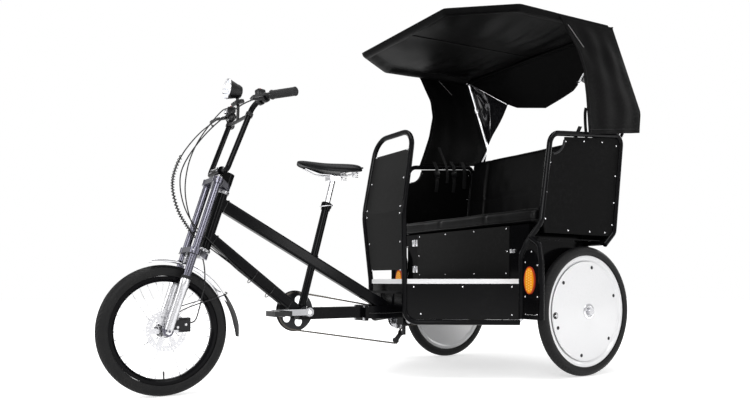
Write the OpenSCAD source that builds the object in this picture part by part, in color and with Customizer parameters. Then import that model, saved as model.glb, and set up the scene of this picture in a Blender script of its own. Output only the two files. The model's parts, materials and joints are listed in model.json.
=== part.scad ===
// Cycle rickshaw: a pedal tricycle with a hooded two-seat cabin over its rear wheels.
// X points to the rider's left, Y to the rear and Z up. The parts are drawn from the
// rear axle's line and then moved so that the origin lies under the middle of the whole.

/* [Wheels] */
// Distance from the front hub to the rear axle
wheelbase = 1856; // [1780:5:1930]
// Distance between the middles of the two rear tyres
rear_track = 1003; // [995:1:1040]
// Outer diameter of the rear tyres
rear_wheel_d = 615; // [600:1:630]
// Outer diameter of the front tyre
front_wheel_d = 514; // [500:1:530]
// Width of every tyre
tyre_w = 53; // [45:1:56]
// Diameter of the white covers on the rear wheels
cover_d = 462; // [430:1:470]
// Diameter of the rear axle
axle_d = 25; // [20:1:30]
// Diameter of the front axle
front_axle_d = 10; // [8:1:14]
// Diameter of the front brake disc
brake_disc_d = 160; // [140:5:180]
// Number of spokes in the front wheel
spoke_count = 36; // [28:4:36]

/* [Steering] */
// Lean of the steering axis back from the vertical
steer_tilt = 18.6; // [16:0.2:21]
// Distance of the front hub ahead of the steering axis
fork_offset = 53; // [45:1:60]
// Distance from the wheel's middle plane to each fork leg
fork_leg_x = 60; // [56:1:70]
// Height of the head tube's lower end above the front hub, along the steering axis
head_low = 345; // [340:1:380]
// Length of the head tube
head_len = 267; // [240:1:290]
// Outer diameter of the head tube
head_d = 44; // [40:1:50]
// Diameter of the fork's steerer tube
steerer_d = 28.6; // [25.4:0.1:31]
// Half of the handlebar's width
bar_half_w = 330; // [300:5:360]
// Height of the bend in the bars, under the grips
bar_bend_z = 1165; // [1120:5:1200]

/* [Frame] */
// Height of the crank spindle
crank_z = 317; // [305:1:330]
// Distance from the rear axle forward to the crank spindle
crank_y = 1254; // [1230:1:1280]
// Length of each crank arm
crank_len = 170; // [150:1:180]
// Depth of the top tube
top_tube_h = 52; // [44:1:60]
// Depth of the down tube
down_tube_h = 45; // [38:1:52]
// Width of the top and down tubes
tube_w = 40; // [34:1:44]
// Width of the long beam under the frame
beam_w = 50; // [40:1:56]
// Height of the beam's upper face
beam_top = 334; // [330:1:338]
// Depth of the beam
beam_h = 52; // [44:1:58]
// Height of the saddle's top
saddle_top = 982; // [940:2:1040]

/* [Cabin] */
// Height of the floor's upper face
floor_z = 450; // [445:1:460]
// Half width of the floor's front edge, to the middle of the hoop tubes
floor_front_x = 139; // [130:1:160]
// Half width at the seat box, to the middle of the inner side tubes
seat_x = 441; // [436:1:443]
// Distance from the rear axle forward to the front hoop
hoop_y = 790; // [770:1:810]
// Distance from the rear axle forward to the side tubes beside the seat box
seat_y = 354; // [350:1:370]
// Half width of the side hoops above the wheels
side_x = 530; // [528:1:540]
// Diameter of the cabin's bent tubes
hoop_d = 25; // [22:1:26]
// Thickness of the cabin's sheet panels
panel_t = 6; // [3:0.5:8]
// Thickness of the floor and seat boards
board_t = 12; // [9:1:15]
// Top of the front hoop
hoop_top = 1150; // [1100:5:1200]
// Top of the seat board
seat_z = 709; // [700:1:720]
// Thickness of the seat cushion
cushion_t = 85; // [70:1:100]
// Thickness of the backrest
backrest_t = 60; // [45:1:75]

/* [Canopy] */
// Height of the roof's front edge
roof_front_z = 1648; // [1600:4:1700]
// Height of the roof's rear crease
roof_rear_z = 1690; // [1650:4:1740]
// Distance of the roof's front edge ahead of the rear axle
roof_reach = 720; // [640:5:760]
// Half width of the roof along its sides
roof_x = 525; // [515:1:540]
// Half width of the roof's straight front edge
roof_nose_x = 335; // [300:5:360]
// Thickness of the canopy's cloth solids
cloth_t = 4; // [3:0.5:6]
// Diameter of the canopy's bows
bow_d = 19; // [16:1:22]

/* [Hidden] */
$fn = 48;

seat_gap = 0.3;      // air left where one piece seats on another
run_gap = 0.05;      // radial air where a shaft turns in a bore
rear_r = rear_wheel_d / 2;
front_r = front_wheel_d / 2;
hoop_r = hoop_d / 2;
bow_r = bow_d / 2;
front_hub_pos = [0, -wheelbase, front_r];
crank_pos = [0, -crank_y, crank_z];

// The whole reaches from the front tyre to the low rear corner of the curtains.
curtain_rear_y = 372;
mid_y = (curtain_rear_y - wheelbase - front_r) / 2;

// ---------- shared shapes ----------
module placed() { translate([0, -mid_y, 0]) children(); }
module both_sides() { children(); mirror([1, 0, 0]) children(); }
module at_fork() { translate(front_hub_pos) rotate([-steer_tilt, 0, 0]) children(); }

// A point given along and behind the line that rises from the front hub with the fork
function fork_point(x, back, up) = front_hub_pos
    + [x, back * cos(steer_tilt) + up * sin(steer_tilt), up * cos(steer_tilt) - back * sin(steer_tilt)];

module bar(a, b, r) {
    v = b - a;
    translate(a) rotate([0, acos(v[2] / norm(v)), atan2(v[1], v[0])]) cylinder(h = norm(v), r = r);
}
module shaft(x0, x1, r) { translate([x0, 0, 0]) rotate([0, 90, 0]) cylinder(h = x1 - x0, r = r); }
module block(low, high) { translate(low) cube(high - low); }

module rounded_rect(w, h, r) {
    square([w - 2 * r, h], center = true);
    square([w, h - 2 * r], center = true);
    for (x = [-1, 1], y = [-1, 1]) translate([x * (w / 2 - r), y * (h / 2 - r)]) circle(r);
}
// A tube of rounded box section between two points in the middle plane
module box_tube(a, b, w, h, r) {
    v = b - a;
    translate(a) rotate([-atan2(v[1], v[2]), 0, 0]) linear_extrude(norm(v)) rounded_rect(w, h, r);
}
// An outline of (Y, Z) points, thickened from x towards +X
module side_plate(x, t) { translate([x, 0, 0]) rotate([90, 0, 90]) linear_extrude(t) children(); }
// An outline of (X, Z) points, thickened from y towards +Y
module front_plate(y, t) { translate([0, y + t, 0]) rotate([90, 0, 0]) linear_extrude(t) children(); }
// A body of revolution about the X direction: the outline is (radius, X)
module turned() { rotate([0, 90, 0]) rotate_extrude($fn = 96) children(); }

function unit(v) = v / norm(v);
function slide(a, b, t) = a + (b - a) * t;
// Points on an arc of radius r that rounds the corner b between a and c
function bend(a, b, c, r, n) =
    let (u = unit(a - b), v = unit(c - b), half = acos(u * v) / 2,
         run = r / tan(half), centre = b + unit(u + v) * r / sin(half),
         s = b + u * run - centre, e = b + v * run - centre, turn = 180 - 2 * half)
    [for (i = [0:n]) centre + (s * sin(turn * (1 - i / n)) + e * sin(turn * i / n)) / sin(turn)];
// A line of points with every inner corner rounded
function rounded_path(p, r, n = 5) = let (last = len(p) - 1)
    [for (i = [0:last]) each (i == 0 || i == last ? [p[i]] : bend(p[i - 1], p[i], p[i + 1], r, n))];
function heading(p, i) = unit(p[min(i + 1, len(p) - 1)] - p[max(i - 1, 0)]);
function square_to(v, t) = unit(v - (v * t) * t);
function carried(p, i, n) = i == len(p) ? []
    : let (m = square_to(n, heading(p, i))) concat([m], carried(p, i + 1, m));
function first_normal(t) = square_to(abs(t[0]) < 0.8 ? [1, 0, 0] : [0, 0, 1], t);
function ring_faces(rings, sides) = concat(
    [[for (k = [0:sides - 1]) k]],
    [for (i = [0:rings - 2], k = [0:sides - 1])
        let (j = (k + 1) % sides) [i * sides + k, (i + 1) * sides + k, (i + 1) * sides + j, i * sides + j]],
    [[for (k = [sides - 1:-1:0]) (rings - 1) * sides + k]]);
// A round tube swept along a line of points
module swept(p, r, sides = 16) {
    across = carried(p, 0, first_normal(heading(p, 0)));
    polyhedron(
        [for (i = [0:len(p) - 1], k = [0:sides - 1])
            let (up = cross(heading(p, i), across[i]), a = 360 * k / sides)
            p[i] + r * (cos(a) * across[i] + sin(a) * up)],
        ring_faces(len(p), sides), convexity = 10);
}
// A flat plate: an outline of 3D points in one plane, and the same outline moved by shift
module plate(p, shift) {
    n = len(p);
    polyhedron(concat(p, [for (q = p) q + shift]),
        concat([[for (i = [0:n - 1]) i]],
            [for (i = [0:n - 1]) let (j = (i + 1) % n) [i, i + n, j + n, j]],
            [[for (i = [n - 1:-1:0]) i + n]]), convexity = 10);
}

// ---------- frame ----------
head_low_pos = fork_point(0, fork_offset, head_low);
head_top_pos = fork_point(0, fork_offset, head_low + head_len);
flange_y = -936;             // the joint between the front beam and the cabin's beam
flange_t = 8;
top_tube_end = [0, -hoop_y - 12, beam_top - 6];
top_tube_start = fork_point(0, fork_offset, head_low + 213);
down_tube_start = fork_point(0, fork_offset, head_low + 68);
seat_tube_r = 17;
seat_tube_top = [0, -1120, 802];
shell_r = 23;
shell_half = 36;
spindle_r = 8;

module main_frame() color("#151518") placed() difference() {
    union() {
        bar(head_low_pos, head_top_pos, head_d / 2);
        box_tube(top_tube_start, top_tube_end, tube_w, top_tube_h, 9);
        box_tube(down_tube_start, crank_pos + [0, -20, 6], tube_w, down_tube_h, 9);
        bar(crank_pos, seat_tube_top, seat_tube_r);
        bar(seat_tube_top - 34 * unit(seat_tube_top - crank_pos), seat_tube_top, seat_tube_r + 4);
        block([-beam_w / 2, -crank_y - 18, beam_top - beam_h], [beam_w / 2, flange_y - flange_t, beam_top]);
        block([-50, flange_y - flange_t, beam_top - beam_h - 14], [50, flange_y - seat_gap, beam_top + 6]);
        translate(crank_pos) shaft(-shell_half, shell_half, shell_r);
    }
    at_fork() translate([0, fork_offset, 0]) cylinder(h = head_low + head_len + 60, r = steerer_d / 2 + 1);
    translate(crank_pos) shaft(-60, 60, spindle_r + run_gap);
    bar(seat_tube_top - 180 * unit(seat_tube_top - crank_pos),
        seat_tube_top + 5 * unit(seat_tube_top - crank_pos), post_r + run_gap);
    block([-60, flange_y - seat_gap, 100], [60, 0, beam_top + seat_gap]);
    block([-60, -hoop_y - 14, 100], [60, 0, 600]);
}

post_r = 13.6;
saddle_mid_y = -1100;
rail_z = saddle_top - 56;

module saddle_post() color("#c8c8cc") placed() {
    up = unit(seat_tube_top - crank_pos);
    post_top = seat_tube_top + up * ((rail_z - 14 - seat_tube_top[2]) / up[2]);
    bar(seat_tube_top - 120 * up, post_top, post_r);
    block([-26, post_top[1] - 24, rail_z - 22], [26, post_top[1] + 24, rail_z + 6]);
    // The two rails under the saddle
    both_sides() swept(rounded_path([[9, -1235, rail_z + 20], [20, -1170, rail_z], [22, -1040, rail_z],
                                     [52, -985, rail_z + 18]], 40, 3), 3.5, 10);
}

module saddle() color("#202024") placed() difference() {
    hull() {
        translate([0, -1240, saddle_top - 34]) scale([1, 1.15, 0.75]) sphere(r = 27, $fn = 32);
        for (x = [-52, 52]) translate([x, -1010, saddle_top - 32]) scale([1.1, 1.05, 0.56]) sphere(r = 57, $fn = 32);
    }
    // The underside is flat above the rails
    block([-150, -1300, saddle_top - 100], [150, -900, rail_z + 24]);
}

// ---------- cabin chassis ----------
rear_beam_h = 58;
cross_r = 12.5;
front_cross_z = 287.5;
rear_cross = [-110, rear_r];       // (Y, Z) of the square cross tube ahead of the axle
bearing_x = [118, 400];           // bearing plates on each side of the middle
bearing_t = 10;
shaft_pos = [0, -690, 262];
shaft_r = 8;

module rear_chassis() color("#151518") placed() difference() {
    union() {
        block([-50, flange_y, beam_top - rear_beam_h - 8], [50, flange_y + flange_t, beam_top + 6]);
        block([-beam_w / 2, flange_y, beam_top - rear_beam_h], [beam_w / 2, rear_cross[0] + 10, beam_top]);
        // Cross tube under the front of the seat box, between the inner side tubes
        translate([0, -seat_y, front_cross_z])
            shaft(-seat_x + hoop_r + seat_gap, seat_x - hoop_r - seat_gap, cross_r);
        // Square cross tube that carries the axle's bearing plates and the cabin's posts
        block([-430, rear_cross[0] - 20, rear_cross[1] - 20], [430, rear_cross[0] + 20, rear_cross[1] + 20]);
        both_sides() for (x = bearing_x)
            block([x - bearing_t / 2, rear_cross[0], rear_r - 32], [x + bearing_t / 2, 34, rear_r + 32]);
        both_sides() {
            block([345, rear_cross[0] - 15, rear_cross[1]], [375, rear_cross[0] + 15, floor_z - board_t - seat_gap]);
            block([290, -seat_y - 10, front_cross_z], [310, -seat_y + 10, floor_z - board_t - seat_gap]);
        }
        // Block that holds the drive shaft under the beam
        block([-beam_w / 2, shaft_pos[1] - 24, shaft_pos[2] - 22], [beam_w / 2, shaft_pos[1] + 24, beam_top - rear_beam_h + 1]);
    }
    translate([0, 0, rear_r]) shaft(-600, 600, axle_d / 2 + run_gap);
    translate(shaft_pos) shaft(-100, 100, shaft_r + run_gap);
}

axle_half = rear_track / 2 + 44;
sprocket_x = -78;
axle_sprocket_r = 60;

module rear_axle() color("#8c8c90") placed() translate([0, 0, rear_r]) {
    shaft(-axle_half, axle_half, axle_d / 2);
    // Sprocket and brake disc near the middle, and the nuts outside the wheels
    shaft(sprocket_x - 2, sprocket_x + 2, axle_sprocket_r - chain_half_h - 1);
    shaft(sprocket_x - 8, sprocket_x + 14, 26);
    shaft(68, 71, 80);
    shaft(60, 71, 26);
    both_sides() shaft(axle_half - 14, axle_half, 17);
}

module drive_shaft() color("#77777c") placed() translate(shaft_pos) {
    shaft(sprocket_x - 12, 34, shaft_r);
    shaft(chain_x - 2, chain_x + 2, cog_r - chain_half_h - 1);
    shaft(sprocket_x - 2, sprocket_x + 2, small_cog_r - chain_half_h - 1);
    shaft(-90, -46, 14);
}

// ---------- chains ----------
chain_x = -50;
chain_w = 7;
chain_half_h = 4;
chainring_r = 84;
pulley_r = 15;
pulleys = [[-670, 196], [-704, 161]];      // (Y, Z) of the tensioner's two pulleys

function toward(a, b) = atan2(b[1] - a[1], b[0] - a[0]);
// Angle at which a chain leaves circle a for circle b, from the line between their middles:
// open when it stays on one side, crossed when it changes side
function open_angle(a, ra, b, rb) = acos((ra - rb) / norm(b - a));
function crossed_angle(a, ra, b, rb) = acos((ra + rb) / norm(b - a));
function arc_points(c, r, from, to, n) = [for (i = [0:n]) let (a = slide(from, to, i / n)) c + r * [cos(a), sin(a)]];
function side_normal(p, i) = let (n = len(p), t = unit(p[(i + 1) % n] - p[(i + n - 1) % n])) [t[1], -t[0]];
function widened(p, d) = [for (i = [0:len(p) - 1]) p[i] + d * side_normal(p, i)];
// The closed band between two outlines on each side of a line of (Y, Z) points
module belt(p, x, w, half_h) side_plate(x - w / 2, w) difference() {
    polygon(widened(p, half_h));
    polygon(widened(p, -half_h));
}

cog_r = 45;                  // middle of the chain on the drive shaft's outer cog
small_cog_r = 35;
cog = [shaft_pos[1], shaft_pos[2]];
ring = [-crank_y, crank_z];

module front_chain() color("#2c2a28") placed() {
    top = toward(ring, cog) + open_angle(ring, chainring_r, cog, cog_r);
    low = toward(ring, pulleys[1]) - open_angle(ring, chainring_r, pulleys[1], pulley_r);
    turn = toward(pulleys[1], pulleys[0]) - crossed_angle(pulleys[1], pulley_r, pulleys[0], pulley_r);
    rise = toward(pulleys[0], cog) + crossed_angle(pulleys[0], pulley_r, cog, cog_r);
    belt(concat(
            arc_points(ring, chainring_r, top, low + 360, 16),
            arc_points(pulleys[1], pulley_r, low, turn, 5),
            arc_points(pulleys[0], pulley_r, turn + 180, rise, 4),
            arc_points(cog, cog_r, rise - 180, top, 8)),
        chain_x, chain_w, chain_half_h);
}

module rear_chain() color("#2c2a28") placed() {
    hub = [0, rear_r];
    top = toward(cog, hub) + open_angle(cog, small_cog_r, hub, axle_sprocket_r);
    low = toward(cog, hub) - open_angle(cog, small_cog_r, hub, axle_sprocket_r);
    belt(concat(arc_points(cog, small_cog_r, top, low + 360, 9), arc_points(hub, axle_sprocket_r, low, top, 12)),
        sprocket_x, chain_w, chain_half_h);
}

module chain_tensioner() color("#222224") placed() {
    for (p = pulleys) translate([0, p[0], p[1]]) shaft(chain_x - 7, chain_x + 7, pulley_r - chain_half_h - 1.5);
    for (x = [chain_x - 9, chain_x + 6])
        side_plate(x, 3) {
            for (p = pulleys) translate(p) circle(12);
            translate(slide(pulleys[0], pulleys[1], 0.5)) rotate(45.8) square([norm(pulleys[0] - pulleys[1]), 15], center = true);
        }
    // Arm up to the block under the beam
    block([chain_x + 6, pulleys[0][0] - 10, pulleys[0][1] - 8], [-18, pulleys[0][0] + 4, pulleys[0][1] + 10]);
    block([-30, pulleys[0][0] - 10, pulleys[0][1] - 8], [-18, pulleys[0][0] + 4, shaft_pos[2] - 22 - seat_gap]);
}

// ---------- cabin ----------
low_bend = 60;               // bend of the hoop tube where it turns under the skirt
rail_low_z = front_cross_z - cross_r - hoop_r - seat_gap;
hoop_mid = [floor_front_x + 26, -hoop_y - 23, 775];
hoop_high = [floor_front_x + 11, -hoop_y + 44, hoop_top];

module front_hoop() color("#101013") placed() {
    half_path = [[seat_x, -seat_y - 10, rail_low_z], [floor_front_x, -hoop_y, rail_low_z],
                 [floor_front_x, -hoop_y, floor_z], hoop_mid, hoop_high];
    flip = [[-1, 0, 0], [0, 1, 0], [0, 0, 1]];
    side = concat(
        [half_path[0]], bend(half_path[0], half_path[1], half_path[2], low_bend, 6),
        bend(half_path[1], half_path[2], half_path[3], 200, 1),
        bend(half_path[2], half_path[3], half_path[4], 300, 3),
        bend(half_path[3], half_path[4], flip * half_path[4], 85, 8));
    swept(concat(side, [for (i = [len(side) - 1:-1:0]) flip * side[i]]), hoop_r);
    // Cross plates that rest on the beam
    block([-floor_front_x, -hoop_y - 10, beam_top], [floor_front_x, -hoop_y + 10, beam_top + 8]);
    block([-floor_front_x, -hoop_y - 6, 392], [floor_front_x, -hoop_y + 6, 404]);
    both_sides() block([44, -hoop_y - 4, beam_top], [54, -hoop_y + 4, 398]);
}

// Two flat fields that meet at the hoop's bend, with a hand-hold above and a gap below
module front_panel() color("#303033") placed() {
    inset = hoop_r + 2.2;
    low_z = 502;
    high_z = hoop_top - 88;
    low = slide([floor_front_x, -hoop_y, floor_z], hoop_mid, (low_z - floor_z) / (hoop_mid[2] - floor_z));
    high = slide(hoop_mid, hoop_high, (high_z - hoop_mid[2]) / (hoop_high[2] - hoop_mid[2]));
    for (field = [[low, hoop_mid], [hoop_mid, high]]) {
        a = field[0] - [inset, panel_t / 2, 0];
        b = field[1] - [inset, panel_t / 2, 0];
        plate([a, b, [-b[0], b[1], b[2]], [-a[0], a[1], a[2]]], [0, panel_t, 0]);
    }
}

skirt_dir = unit([seat_x - floor_front_x, hoop_y - seat_y, 0]);
skirt_angle = atan2(skirt_dir[1], skirt_dir[0]);
skirt_len = norm([seat_x - floor_front_x, hoop_y - seat_y]) - 2 * (hoop_r + seat_gap);
// A strip between the hoop tube and the inner side tube, on the slanted edge of the floor
module slanted_strip(z0, z1, t)
    translate([floor_front_x, -hoop_y, z0]) rotate([0, 0, skirt_angle])
        translate([hoop_r + seat_gap, -t / 2, 0]) cube([skirt_len, t, z1 - z0]);

strip_h = 22;
strip_low = floor_z - board_t;

module floor_board() color("#1c1c1e") placed() {
    half = [[floor_front_x + 4, -hoop_y + hoop_r + 1.5], [seat_x - hoop_r - 3.5, -seat_y - hoop_r - 5.5],
            [seat_x - hoop_r - 3.5, -seat_y + hoop_r + 7.5],
            [seat_x - 1, -seat_y + hoop_r + 7.5], [seat_x - 1, 60]];
    translate([0, 0, floor_z - board_t]) linear_extrude(board_t)
        polygon(concat(half, [for (i = [len(half) - 1:-1:0]) [-half[i][0], half[i][1]]]));
}

module floor_trim() color("#f2f2f2") placed() {
    both_sides() slanted_strip(strip_low + seat_gap, strip_low + strip_h, 5);
    block([-floor_front_x + hoop_r + seat_gap, -hoop_y - 2.5, strip_low],
          [floor_front_x - hoop_r - seat_gap, -hoop_y + 2.5, strip_low + strip_h]);
}

// The lower front corner follows the inside of the hoop's lower bend
module side_skirts() color("#141416") placed() both_sides() {
    t = 4;
    edge = hoop_r + seat_gap;
    low = rail_low_z + edge;
    translate([floor_front_x, -hoop_y, 0]) rotate([90, 0, skirt_angle]) translate([0, 0, -t / 2])
        linear_extrude(t) polygon(concat(
            bend([edge, strip_low], [edge, low], [edge + skirt_len, low], low_bend - edge, 8),
            [[edge + skirt_len, low], [edge + skirt_len, strip_low], [edge, strip_low]]));
}

box_front_y = -335;
box_x = 468;
arch_z = 646;

module seat_box() color("#161618") placed() {
    front_plate(box_front_y, board_t)
        polygon([[-seat_x + 1, floor_z], [seat_x - 1, floor_z], [seat_x - 1, arch_z],
                 [box_x, arch_z + 2], [box_x, seat_z], [-box_x, seat_z], [-box_x, arch_z + 2], [-seat_x + 1, arch_z]]);
    block([-box_x, box_front_y + board_t, seat_z - board_t], [box_x, 124, seat_z]);
    both_sides() block([seat_x - board_t - 1, box_front_y + board_t, floor_z], [seat_x - 1, 59, seat_z - board_t]);
}

module seat_box_panel() color("#3a3a3c") placed()
    front_plate(box_front_y - 4, 4) translate([0, (floor_z + 20 + seat_z) / 2])
        square([700, seat_z - floor_z - 22], center = true);

cushion_front_y = box_front_y - 10;
cushion_rear_y = 112;
cushion_x = side_x - hoop_r - 5.5;    // half width between the side hoops
module seat_cushion() color("#26262a") placed()
    block([-cushion_x, cushion_front_y, seat_z + seat_gap], [cushion_x, cushion_rear_y, seat_z + cushion_t]);

// The rear panel leans back from its knee over the wheels
back_knee = [171, 684];
back_top = [236, 1180];
back_low = [104, 628];
back_t = 8;
function back_y(z) = slide(back_knee[0], back_top[0], (z - back_knee[1]) / (back_top[1] - back_knee[1]));

module rear_panel() color("#1a1a1c") placed() {
    side_plate(-side_x + hoop_r + 1, 2 * (side_x - hoop_r - 1))
        polygon([back_top, back_knee, back_low, back_low + [6, -6], back_knee + [back_t + 2, -4],
                 back_top + [back_t, 0]]);
    // The narrow lower part between the wheels
    side_plate(-seat_x + 1, 2 * (seat_x - 1))
        polygon([back_low, back_low + [6, -6], [70, floor_z - board_t], [60.3, floor_z - board_t], [60.3, 600]]);
}

module backrest() color("#26262a") placed() side_plate(-492, 984)
    polygon([[back_y(800) - seat_gap, 800], [back_y(1188) - seat_gap, 1188],
             [back_y(1188) - backrest_t, 1188], [back_y(800) - backrest_t - 14, 800]]);

// ---------- side hoops ----------
hoop_knee = [seat_x, -seat_y, 570];
hoop_step = [seat_x + 33, -seat_y, 622];
hoop_belt = [side_x, -325, 713];
hoop_front = [side_x, -262, 1118];
hoop_rear = [side_x, 238, 1162];
hoop_low = [side_x, 180, 684];
hoop_tip = [side_x, 112, 624];
tube_foot_z = 278;
outer_x = side_x + 28.5;

module side_hoop() {
    swept(concat([[seat_x, -seat_y, tube_foot_z]],
        bend([seat_x, -seat_y, tube_foot_z], hoop_knee, hoop_step, 60, 3),
        bend(hoop_knee, hoop_step, hoop_belt, 60, 2),
        bend(hoop_step, hoop_belt, hoop_front, 60, 4),
        bend(hoop_belt, hoop_front, hoop_rear, 62, 7),
        bend(hoop_front, hoop_rear, hoop_low, 40, 6),
        bend(hoop_rear, hoop_low, hoop_tip, 40, 3), [hoop_tip]), hoop_r);
    // The outer leg of the pointed arch, and the short tie at its foot
    swept(concat([slide(hoop_step, hoop_belt, 0.25)],
        bend(slide(hoop_step, hoop_belt, 0.25), [outer_x - 12, -seat_y, 612], [outer_x, -seat_y, 560], 30, 3),
        [[outer_x, -seat_y, 540], [outer_x, -seat_y, tube_foot_z]]), hoop_r);
    block([seat_x, -seat_y - 8, tube_foot_z], [outer_x, -seat_y + 8, tube_foot_z + 20]);
}
module left_side_hoop() color("#101013") placed() side_hoop();
module right_side_hoop() color("#101013") placed() mirror([1, 0, 0]) side_hoop();

hold_r = 84;
arch_line_z = 667;
module side_panels() color("#2e2e31") placed() both_sides() side_plate(side_x - panel_t / 2, panel_t)
    difference() {
        gap = hoop_r + seat_gap;
        front_top = [hoop_front[1] + gap + 1, hoop_front[2] - gap - 2];
        rear_top = [hoop_rear[1] - gap - 3, hoop_rear[2] - gap - 2];
        rear_low = [hoop_low[1] - gap - 3, hoop_low[2] + 8];
        polygon(concat([[hoop_belt[1] + gap + 8, arch_line_z], [hoop_belt[1] + gap, hoop_belt[2]], front_top],
            bend(front_top, rear_top, rear_low, 30, 5), [rear_low, [hoop_low[1] - 42, arch_line_z]]));
        translate([hoop_front[1] + 8, hoop_front[2] - 8]) circle(hold_r);
    }

plate_t = 3;
module fenders() color("#161618") placed() both_sides() {
    gap = hoop_r + 0.6;
    // Front plate under the pointed arch
    front_plate(-seat_y - plate_t / 2, plate_t)
        polygon([[seat_x + gap, tube_foot_z + 21], [outer_x - gap, tube_foot_z + 21], [outer_x - gap, 540],
                 [outer_x - gap - 12, 566], [outer_x - gap - 34, 588], [seat_x + 52, 594], [seat_x + gap + 14, 584],
                 [seat_x + gap, 548]]);
    // Inner wall and top of the wheel housing
    block([seat_x, -seat_y + 20, 352], [seat_x + panel_t, 60, arch_z - 4]);
    block([seat_x, -seat_y + 30, arch_z - 4], [side_x - hoop_r - 2, 96, arch_z]);
}

module marker_lights() color("#f39a12") placed() both_sides()
    translate([(seat_x + outer_x) / 2 - 4, -seat_y - plate_t / 2, floor_z + 3]) rotate([90, 0, 0])
        linear_extrude(9) polygon([for (a = [0:11.25:359]) [31 * cos(a), 62 * sin(a)]]);

// ---------- canopy ----------
function roof_z(y) = slide(roof_front_z, roof_rear_z, (y + roof_reach) / (roof_reach + crease_y));
crease_y = 187;
chamfer_y = -450;
rear_slope = 0.46;                    // how far the rear cloth runs back for each unit down
curtain_lean = 0.062;                 // how far the side curtains spread for each unit down
function rear_y(z) = crease_y - cloth_t - 1 + (roof_rear_z - z) * rear_slope;
function curtain_x(z) = roof_x - 8 + (roof_rear_z - z) * curtain_lean;

module canopy_roof() color("#1b1b1d") placed() {
    half = [[roof_nose_x, -roof_reach], [roof_x, chamfer_y], [roof_x - 6, crease_y]];
    outline = concat(half, [for (i = [2:-1:0]) [-half[i][0], half[i][1]]]);
    plate([for (q = outline) [q[0], q[1], roof_z(q[1]) - cloth_t]], [0, 0, cloth_t]);
}

roof_drop = cloth_t + bow_r + seat_gap;      // from the roof's face down to a bow's middle
bow_top = roof_z(crease_y - 16) - roof_drop;
bow_x = roof_x - 24;
module canopy_frame() color("#b9b9bd") placed() {
    rail = [for (q = [[bow_x, crease_y - 16], [bow_x, chamfer_y + 10], [roof_nose_x - 8, -roof_reach + 22]])
        [q[0], q[1], roof_z(q[1]) - roof_drop]];
    flip = [[-1, 0, 0], [0, 1, 0], [0, 0, 1]];
    foot = [side_x - hoop_r - bow_r - seat_gap, back_y(1138) + back_t + bow_r - 0.2, 1138];
    elbow = [side_x - 18, 342, 1285];
    side = concat([foot], bend(foot, elbow, rail[0], 50, 5), bend(elbow, rail[0], rail[1], 40, 6),
        bend(rail[0], rail[1], rail[2], 60, 4), bend(rail[1], rail[2], flip * rail[2], 60, 4));
    swept(concat(side, [for (i = [len(side) - 1:-1:0]) flip * side[i]]), bow_r, 12);
    // Rear crease bar
    bar([-bow_x, crease_y - 16, bow_top], [bow_x, crease_y - 16, bow_top], bow_r);
}

// Rows of a side curtain's front edge: height, its Y on the left, its Y on the right
hem_top_y = -210;
curtain_front = [[roof_z(hem_top_y) - cloth_t - seat_gap, hem_top_y, hem_top_y], [1600, -150, -150], [1530, -90, -100], [1440, -52, -80],
                 [1320, -42, -100], [1220, -38, -135], [1134, -35, -168]];
module curtain(side, sign) {
    rear = [[352, 1186], [curtain_rear_y, 1290], [crease_y - 8, roof_z(crease_y - 8) - cloth_t - seat_gap]];
    outline = concat([for (row = curtain_front) [row[side], row[0]]], rear);
    plate([for (q = outline) [sign * curtain_x(q[1]), q[0], q[1]]], [sign * cloth_t, 0, 0]);
}
module left_curtain() color("#1b1b1d") placed() curtain(1, 1);
module right_curtain() color("#1b1b1d") placed() curtain(2, -1);

module rear_curtain() color("#1b1b1d") placed() {
    // (X, Z) of half of the rear cloth: crease, side, gusset, window edge, middle
    half = [[roof_x - 10, roof_rear_z - cloth_t - seat_gap], [side_x - 2, 1310], [272, 1512], [205, 1472], [0, 1426]];
    outline = concat(half, [for (i = [3:-1:0]) [-half[i][0], half[i][1]]]);
    plate([for (q = outline) [q[0], rear_y(q[1]), q[1]]], [0, cloth_t, 0]);
}

// ---------- fork and bars ----------
crown_t = 24;
crown_gap = 4;
upper_crown = head_low + head_len + crown_gap;
lower_crown = head_low - crown_gap - crown_t;
stanchion_r = 15;
lower_leg_r = 18;
stem_up = upper_crown + crown_t + 30;

// A crown that reaches from the two legs back to the steerer
module crown_plate() linear_extrude(crown_t) {
    for (x = [-fork_leg_x, fork_leg_x]) translate([x, 0]) circle(stanchion_r + 7);
    translate([0, fork_offset]) circle(head_d / 2 + 1);
    polygon([[-fork_leg_x - 8, -19], [fork_leg_x + 8, -19], [fork_leg_x + 18, 12],
             [21, fork_offset + 8], [-21, fork_offset + 8], [-fork_leg_x - 18, 12]]);
}

module fork() color("#b7b3c2") placed() at_fork() {
    translate([0, 0, upper_crown]) crown_plate();
    translate([0, 0, lower_crown]) crown_plate();
    translate([0, fork_offset, lower_crown]) cylinder(h = stem_up - lower_crown, r = steerer_d / 2);
    both_sides() translate([fork_leg_x, 0, 0]) {
        translate([0, 0, 195]) cylinder(h = upper_crown + crown_t - 195, r = stanchion_r);
        translate([0, 0, -4]) cylinder(h = 216, r = lower_leg_r);
        translate([-4, 0, 0]) shaft(-4, 8, 21);
    }
    shaft(-fork_leg_x - 20, fork_leg_x + 20, front_axle_d / 2);
}

riser_foot = fork_point(101, 8, stem_up + 6);
bars_y = -wheelbase + 332;    // where the risers meet the bars
riser_top = [110, bars_y, bar_bend_z];
grip_start = [215, bars_y + 25, bar_bend_z + 16];
grip_end = [bar_half_w, bars_y + 76, bar_bend_z + 10];
bar_r = 11;

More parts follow.
